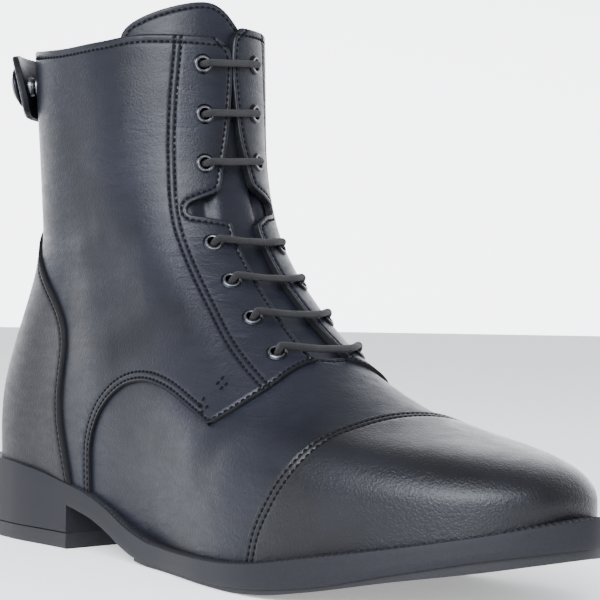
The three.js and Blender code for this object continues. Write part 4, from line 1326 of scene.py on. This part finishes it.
def swept(name, path, radius, look, sides=16):
    """A round cord along a smooth path, with its length and its turn in mm as UV."""
    path = np.asarray(path, float)
    ahead = np.gradient(path, axis=0)
    ahead /= np.linalg.norm(ahead, axis=1, keepdims=True)
    side = np.zeros_like(path)
    side[0] = np.cross(ahead[0], (0.3, 0.1, 1.0))
    for n in range(len(path)):
        before = side[max(n - 1, 0)]
        across = before - (before @ ahead[n]) * ahead[n]
        side[n] = across / np.linalg.norm(across)
    other = np.cross(ahead, side)
    angle = 2 * np.pi * np.arange(sides) / sides
    round_it = np.cos(angle)[:, None] * side[:, None] + np.sin(angle)[:, None] * other[:, None]
    rings = path[:, None] + radius * round_it
    count = len(path)
    vertices = [*rings.reshape(-1, 3), path[0], path[-1]]
    faces = [
        (k * sides + i, k * sides + (i + 1) % sides, (k + 1) * sides + (i + 1) % sides, (k + 1) * sides + i)
        for k in range(count - 1)
        for i in range(sides)
    ]
    quads = len(faces)
    faces += [(count * sides, (i + 1) % sides, i) for i in range(sides)]
    last = (count - 1) * sides
    faces += [(count * sides + 1, last + i, last + (i + 1) % sides) for i in range(sides)]
    piece = new_object(name, vertices, faces, [look], smooth=60)
    length = np.r_[0, np.cumsum(np.linalg.norm(np.diff(path, axis=0), axis=1))]
    layer = piece.data.uv_layers.new(name="length_and_turn")
    uv = np.zeros((len(piece.data.loops), 2))
    girth = 2 * np.pi * radius / sides
    n = 0
    for f in range(quads):
        k, i = divmod(f, sides)
        corners = ((k, i), (k, i + 1), (k + 1, i + 1), (k + 1, i))
        uv[n : n + 4] = [(length[step], turn * girth) for step, turn in corners]
        n += 4
    layer.data.foreach_set("uv", uv.ravel())
    return piece


# The pair below the flex notch, and how far out behind the facing the lace passes round the notch
BELOW_NOTCH, ROUND_NOTCH = 4, 9.0


def make_lace(places):
    """One elastic lace: a bar across each pair of eyelets, and a run behind the facing to the next."""
    radius = LACE_THICK / 2
    over = EYELET_RISE + radius + 0.05
    behind = -WALL - radius - 0.1
    path = []
    for n in range(len(EYELETS), 0, -1):
        start = -1 if n % 2 else 1
        (a, a_up), (b, b_up) = places[n, start], places[n, -start]

        def end(place, normal, other):
            inwards = other - place
            inwards = inwards - (inwards @ normal) * normal
            inwards /= np.linalg.norm(inwards)
            route = ((behind, 0), (-0.8, 0.35), (0.5, 0.8), (1.75, 1.3), (over, 2.6))
            return [place + normal * h + inwards * s for h, s in route]

        bridge = []
        for share in (0.22, 0.36, 0.5, 0.64, 0.78):
            across = a + (b - a) * share
            under, normal = from_front(across[1], across[2])
            lift = over if share in (0.22, 0.78) else radius + 0.5
            bridge.append(under + normal * lift)
        path += [*end(a, a_up, b), *bridge, *reversed(end(b, b_up, a))]
        if n > 1:
            c = places[n - 1, -start][0]
            outwards = ROUND_NOTCH if n == BELOW_NOTCH else 0.5
            y = -start * (abs(b[1] + c[1]) / 2 + outwards)
            middle, normal = from_front(y, (b[2] + c[2]) / 2)
            path.append(middle + normal * (behind - 0.1))
    bars = [f"lace_bar_{n}" for n in range(1, len(EYELETS) + 1)]
    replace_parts(swept("elastic_lace", catmull(path, 9), radius, LACE), *bars)


TOOTH_PITCH, SLIDER_LIP = 1.35, 0.4


def make_zip():
    """The closed zip in its slot: woven tape, interlocked teeth and the slider at the top."""
    skin = crop((-60, -12, 40), (77, 12, 230))
    fields = [
        lambda rows: ZIP_WIDTH / 2 + 0.5 - np.abs(rows[:, 1]),
        lambda rows: rows[:, 2] - ZIP_BOTTOM - SEAT + 1,
        lambda rows: collar_field(rows) - 1.0,
    ]
    for field in fields:
        skin = keep_inside(skin, field)
    flat = np.zeros(len(skin[0]))
    piece = shell("zip_tape_woven", skin, flat - OVERLAY, flat - WALL + 0.1, [TAPE])
    uv = piece.data.uv_layers.new(name="length_and_turn")
    places = np.array([v.co for v in piece.data.vertices]) * PER_MM
    corners = np.array([loop.vertex_index for loop in piece.data.loops])
    uv.data.foreach_set("uv", places[corners][:, (2, 1)].ravel())
    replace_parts(piece, "zip_tape")

    vertices, faces = [], []
    block = [(x, y, z) for x in (-0.5, 0.5) for y in (-0.5, 0.5) for z in (-0.5, 0.5)]
    sides = [(0, 1, 3, 2), (4, 6, 7, 5), (0, 4, 5, 1), (2, 3, 7, 6), (0, 2, 6, 4), (1, 5, 7, 3)]
    low, high = 0.9 * BOOT_HEIGHT, 0.955 * BOOT_HEIGHT
    for n, z in enumerate(np.arange(ZIP_BOTTOM + 1.2, low, TOOTH_PITCH)):
        side = -1 if n % 2 else 1
        place, normal = from_back(side * 0.75, z)
        _, across, up, out = frame_at(place, normal)
        for wide, tall, thick, shift in ((2.1, 0.85, 0.75, 0.0), (0.9, 1.2, 1.0, -0.75)):
            start = len(vertices)
            middle = place - out * 0.95 + across * (across @ (0, side, 0)) * shift
            vertices += [middle + across * x * wide + up * z2 * tall + out * y * thick for x, y, z2 in block]
            faces += [[start + v for v in f] for f in sides]
    chain = new_object("zip_teeth", vertices, faces, [ZIP_METAL], smooth=20)
    tidy_mesh(chain)
    bevel(chain, 0.00014, 1)
    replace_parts(chain, "zip_chain")

    half = ZIP_WIDTH / 2 - SEAT
    right = [(-half, low), (-half, low + 4), (-half * 0.7, high)]
    left = [(-y, z) for y, z in right[::-1]]
    slider = outline_field(catmull(right + left, 4), FRONT)
    back_only = Edge(lambda rows: np.where(rows[:, 0] < BACK_TO, slider(rows), -DEEP), SLIDER_LIP)
    skin, _ = cut_panel(crop((-60, -12, 170), (77, 12, 210)), [back_only])
    inwards = np.clip(back_only.field(skin[0]) / SLIDER_LIP, 0, 1)
    height = 0.5 * OVERLAY - SLIDER_LIP * (1 - np.sqrt(1 - (1 - inwards) ** 2))
    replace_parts(shell("zip_slider_cast", skin, height, height * 0 - OVERLAY, [ZIP_METAL]), "zip_slider")


def bevel(piece, width, segments):
    """Rounds the sharp edges of a piece."""
    bpy.ops.object.select_all(action="DESELECT")
    bpy.context.view_layer.objects.active = piece
    piece.select_set(True)
    modifier = piece.modifiers.new("soft_edges", "BEVEL")
    modifier.width, modifier.segments, modifier.limit_method = width, segments, "ANGLE"
    bpy.ops.object.modifier_apply(modifier=modifier.name)
    piece.select_set(False)


def strap_lift(rows):
    """How far the strap's back stands off the leather: more towards its loose upper corner."""
    across = ease(np.clip((STRAP_SEWN - rows[:, 1]) / (STRAP_SEWN - STRAP_END), 0, 1))
    up = np.clip((rows[:, 2] - STRAP_LOW) / STRAP_HEIGHT, 0, 1)
    return OVERLAY + SEAT + across * (1.0 + 4.5 * up)


def make_strap():
    """The leather strap over the top of the zip, sewn down on the left and snapped on the right."""
    low, high, corner = STRAP_LOW, STRAP_LOW + STRAP_HEIGHT, STRAP_HEIGHT / 4
    bend = (STRAP_END + 0.3 * corner, low + 0.3 * corner)
    rounded = catmull([(STRAP_END + corner, low), bend, (STRAP_END, low + corner)], 4)
    rounded_top = rounded[::-1] * (1, -1) + (0, low + high)
    inside = outline_field([*rounded, *rounded_top, (STRAP_SEWN, high), (STRAP_SEWN, low)], FRONT)
    edge = Edge(lambda rows: np.where(rows[:, 0] < BACK_TO, inside(rows), -DEEP), 0.8, [2.2])
    skin, marks = cut_panel(crop((-60, -60, 160), (77, 60, 215)), [edge])
    height = leather_height(skin[0], [edge], strap_lift(skin[0]) + STRAP_THICK)
    inner = strap_lift(skin[0]) - 0.2 + 0.5 * (1 - np.clip(edge.field(skin[0]) / 0.8, 0, 1)) ** 2
    inner -= 1.5 * np.clip((skin[0][:, 1] - STRAP_SEWN + 12) / 12, 0, 1)
    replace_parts(shell("rear_strap", skin, height, inner, [LEATHER, CUT_EDGE, LEATHER]), "strap")
    sew("strap_stitches", stitch_runs(skin, marks, height), THREAD)


def make_snap():
    """The press stud that closes the strap: a domed cap with a rolled rim, and its socket on the shaft."""
    y, z = STRAP_END + 0.45 * SNAP_CAP + SEAT, STRAP_LOW + STRAP_HEIGHT / 2

    def outer(across, up):
        place, normal = from_back(across, up)
        return place + normal * (strap_lift(place[None])[0] + STRAP_THICK)

    middle = outer(y, z)
    normal = -np.cross(outer(y + 1, z) - outer(y - 1, z), outer(y, z + 1) - outer(y, z - 1))
    normal /= np.linalg.norm(normal)
    r = SNAP_CAP / 2
    cap = [
        (0, -0.6), (r - 0.8, -0.6), (r - 0.2, 0.1), (r, 0.55), (r - 0.12, 1.0), (r - 0.6, 1.35),
        (r - 1.1, 1.3), (r - 1.7, 1.55), (r - 3, 2.35), (r - 4.6, 2.85), (r - 6.4, 3.05), (0, 3.1),
    ]
    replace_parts(turned("snap_cap_domed", cap, middle, normal, [GUNMETAL], sides=56), "snap_cap")
    place, up = from_back(y, z)
    height = strap_lift(place[None])[0] - 0.6
    r = SNAP_SOCKET / 2
    socket = [
        (0, -0.5), (r, -0.5), (r + 0.1, 0.4), (r - 0.2, 0.8), (r - 0.7, 1.0), (r - 0.9, 1.6),
        (r - 0.6, 0.55 * height), (r - 0.25, 0.8 * height), (r - 0.5, height), (0, height),
    ]
    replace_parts(turned("snap_socket_turned", socket, place, up, [BRIGHT_PLATING_AND_HIGHLIGHT]), "snap_socket")


# Light: a bright backdrop that falls off sideways and upwards, in a dim room, and three softboxes
BACKDROP_AWAY_FROM = (0.77, -0.638, 0.0)
BACKDROP, ROOM = 5.4, 0.75
BACKDROP_REACH, BACKDROP_FALL = 1.4, 2.6
PAPER_GLOW = 0.4
SOFTBOX_TINT = (0.89, 0.925, 1.0)
# name, place, width, height, power in watts, aimed at
SOFTBOXES = (
    ("long_softbox", (0.65, -1.55, 1.0), 1.6, 1.0, 62, (0.15, 0, 0.05)),
    ("low_softbox", (1.0, -1.3, 0.55), 1.0, 0.7, 24, (0.05, 0, 0.1)),
    ("high_softbox", (1.15, -0.7, 1.0), 0.9, 0.8, 26, (0.12, 0, 0.08)),
)


def make_studio():
    """A wide pale floor under a bright backdrop, a dim room, and the softboxes."""
    sides, reach = 96, 9.0
    turns = [2 * math.pi * i / sides for i in range(sides)]
    rim = [(reach * math.cos(turn), reach * math.sin(turn), 0) for turn in turns]
    mesh = bpy.data.meshes.new("studio_floor")
    mesh.from_pydata([(0, 0, 0), *rim], [], [(0, 1 + i, 1 + (i + 1) % sides) for i in range(sides)])
    floor = bpy.data.objects.new("studio_floor", mesh)
    bpy.context.scene.collection.objects.link(floor)
    # White paper over a light table: an even pale floor, slightly brighter than the lamps alone make it
    paper = speckled("studio_paper_lit_from_below", "#f6f6f6", "#f9f9f9", rough=0.9, size=40, strength=0.0)
    paper.node_tree.nodes["Principled BSDF"].inputs["Emission Strength"].default_value = PAPER_GLOW
    mesh.materials.append(paper)

    world = bpy.data.worlds.new("studio_room")
    world.use_nodes = True
    tree = world.node_tree
    heading = node(tree, "TexCoord").outputs["Generated"]
    away = node(tree, "VectorMath", {0: heading, 1: BACKDROP_AWAY_FROM}, operation="DOT_PRODUCT")
    near = node(tree, "MapRange", {
        "Value": away.outputs["Value"], "From Min": -1.0, "From Max": BACKDROP_REACH - 1,
        "To Min": 1.0, "To Max": 0.0,
    })
    glow = node(tree, "Math", {0: near.outputs["Result"], 1: 2.0}, operation="POWER")
    height = node(tree, "SeparateXYZ", {"Vector": heading}).outputs["Z"]
    squared = node(tree, "Math", {0: height, 1: 2.0}, operation="POWER")
    low = node(tree, "Math", {
        0: squared.outputs["Value"], 1: -BACKDROP_FALL, 2: 1.0,
    }, operation="MULTIPLY_ADD", use_clamp=True)
    lit = node(tree, "Math", {0: glow.outputs["Value"], 1: low.outputs["Value"]}, operation="MULTIPLY")
    shade = node(tree, "Math", {0: lit.outputs["Value"], 1: BACKDROP, 2: ROOM}, operation="MULTIPLY_ADD")
    tree.links.new(shade.outputs["Value"], tree.nodes["Background"].inputs["Strength"])
    tree.nodes["Background"].inputs["Color"].default_value = linear("#f4f6fc")
    bpy.context.scene.world = world
    for name, place, width, tall, power, aim in SOFTBOXES:
        data = bpy.data.lights.new(name, "AREA")
        data.shape, data.size, data.size_y = "RECTANGLE", width, tall
        data.energy, data.color = power, SOFTBOX_TINT
        lamp = bpy.data.objects.new(name, data)
        lamp.location = place
        lamp.rotation_euler = (Vector(aim) - Vector(place)).to_track_quat("-Z", "Y").to_euler()
        bpy.context.scene.collection.objects.link(lamp)


eyelets = eyelet_places()
make_lace(eyelets)
make_quarters(eyelets)
make_vamp()
make_toe_cap()
make_counter()
make_tongue(eyelets)
make_insole()
make_sole_unit()
make_tread()
make_top_lift()
make_eyelets(eyelets)
make_zip()
make_strap()
make_snap()
make_studio()
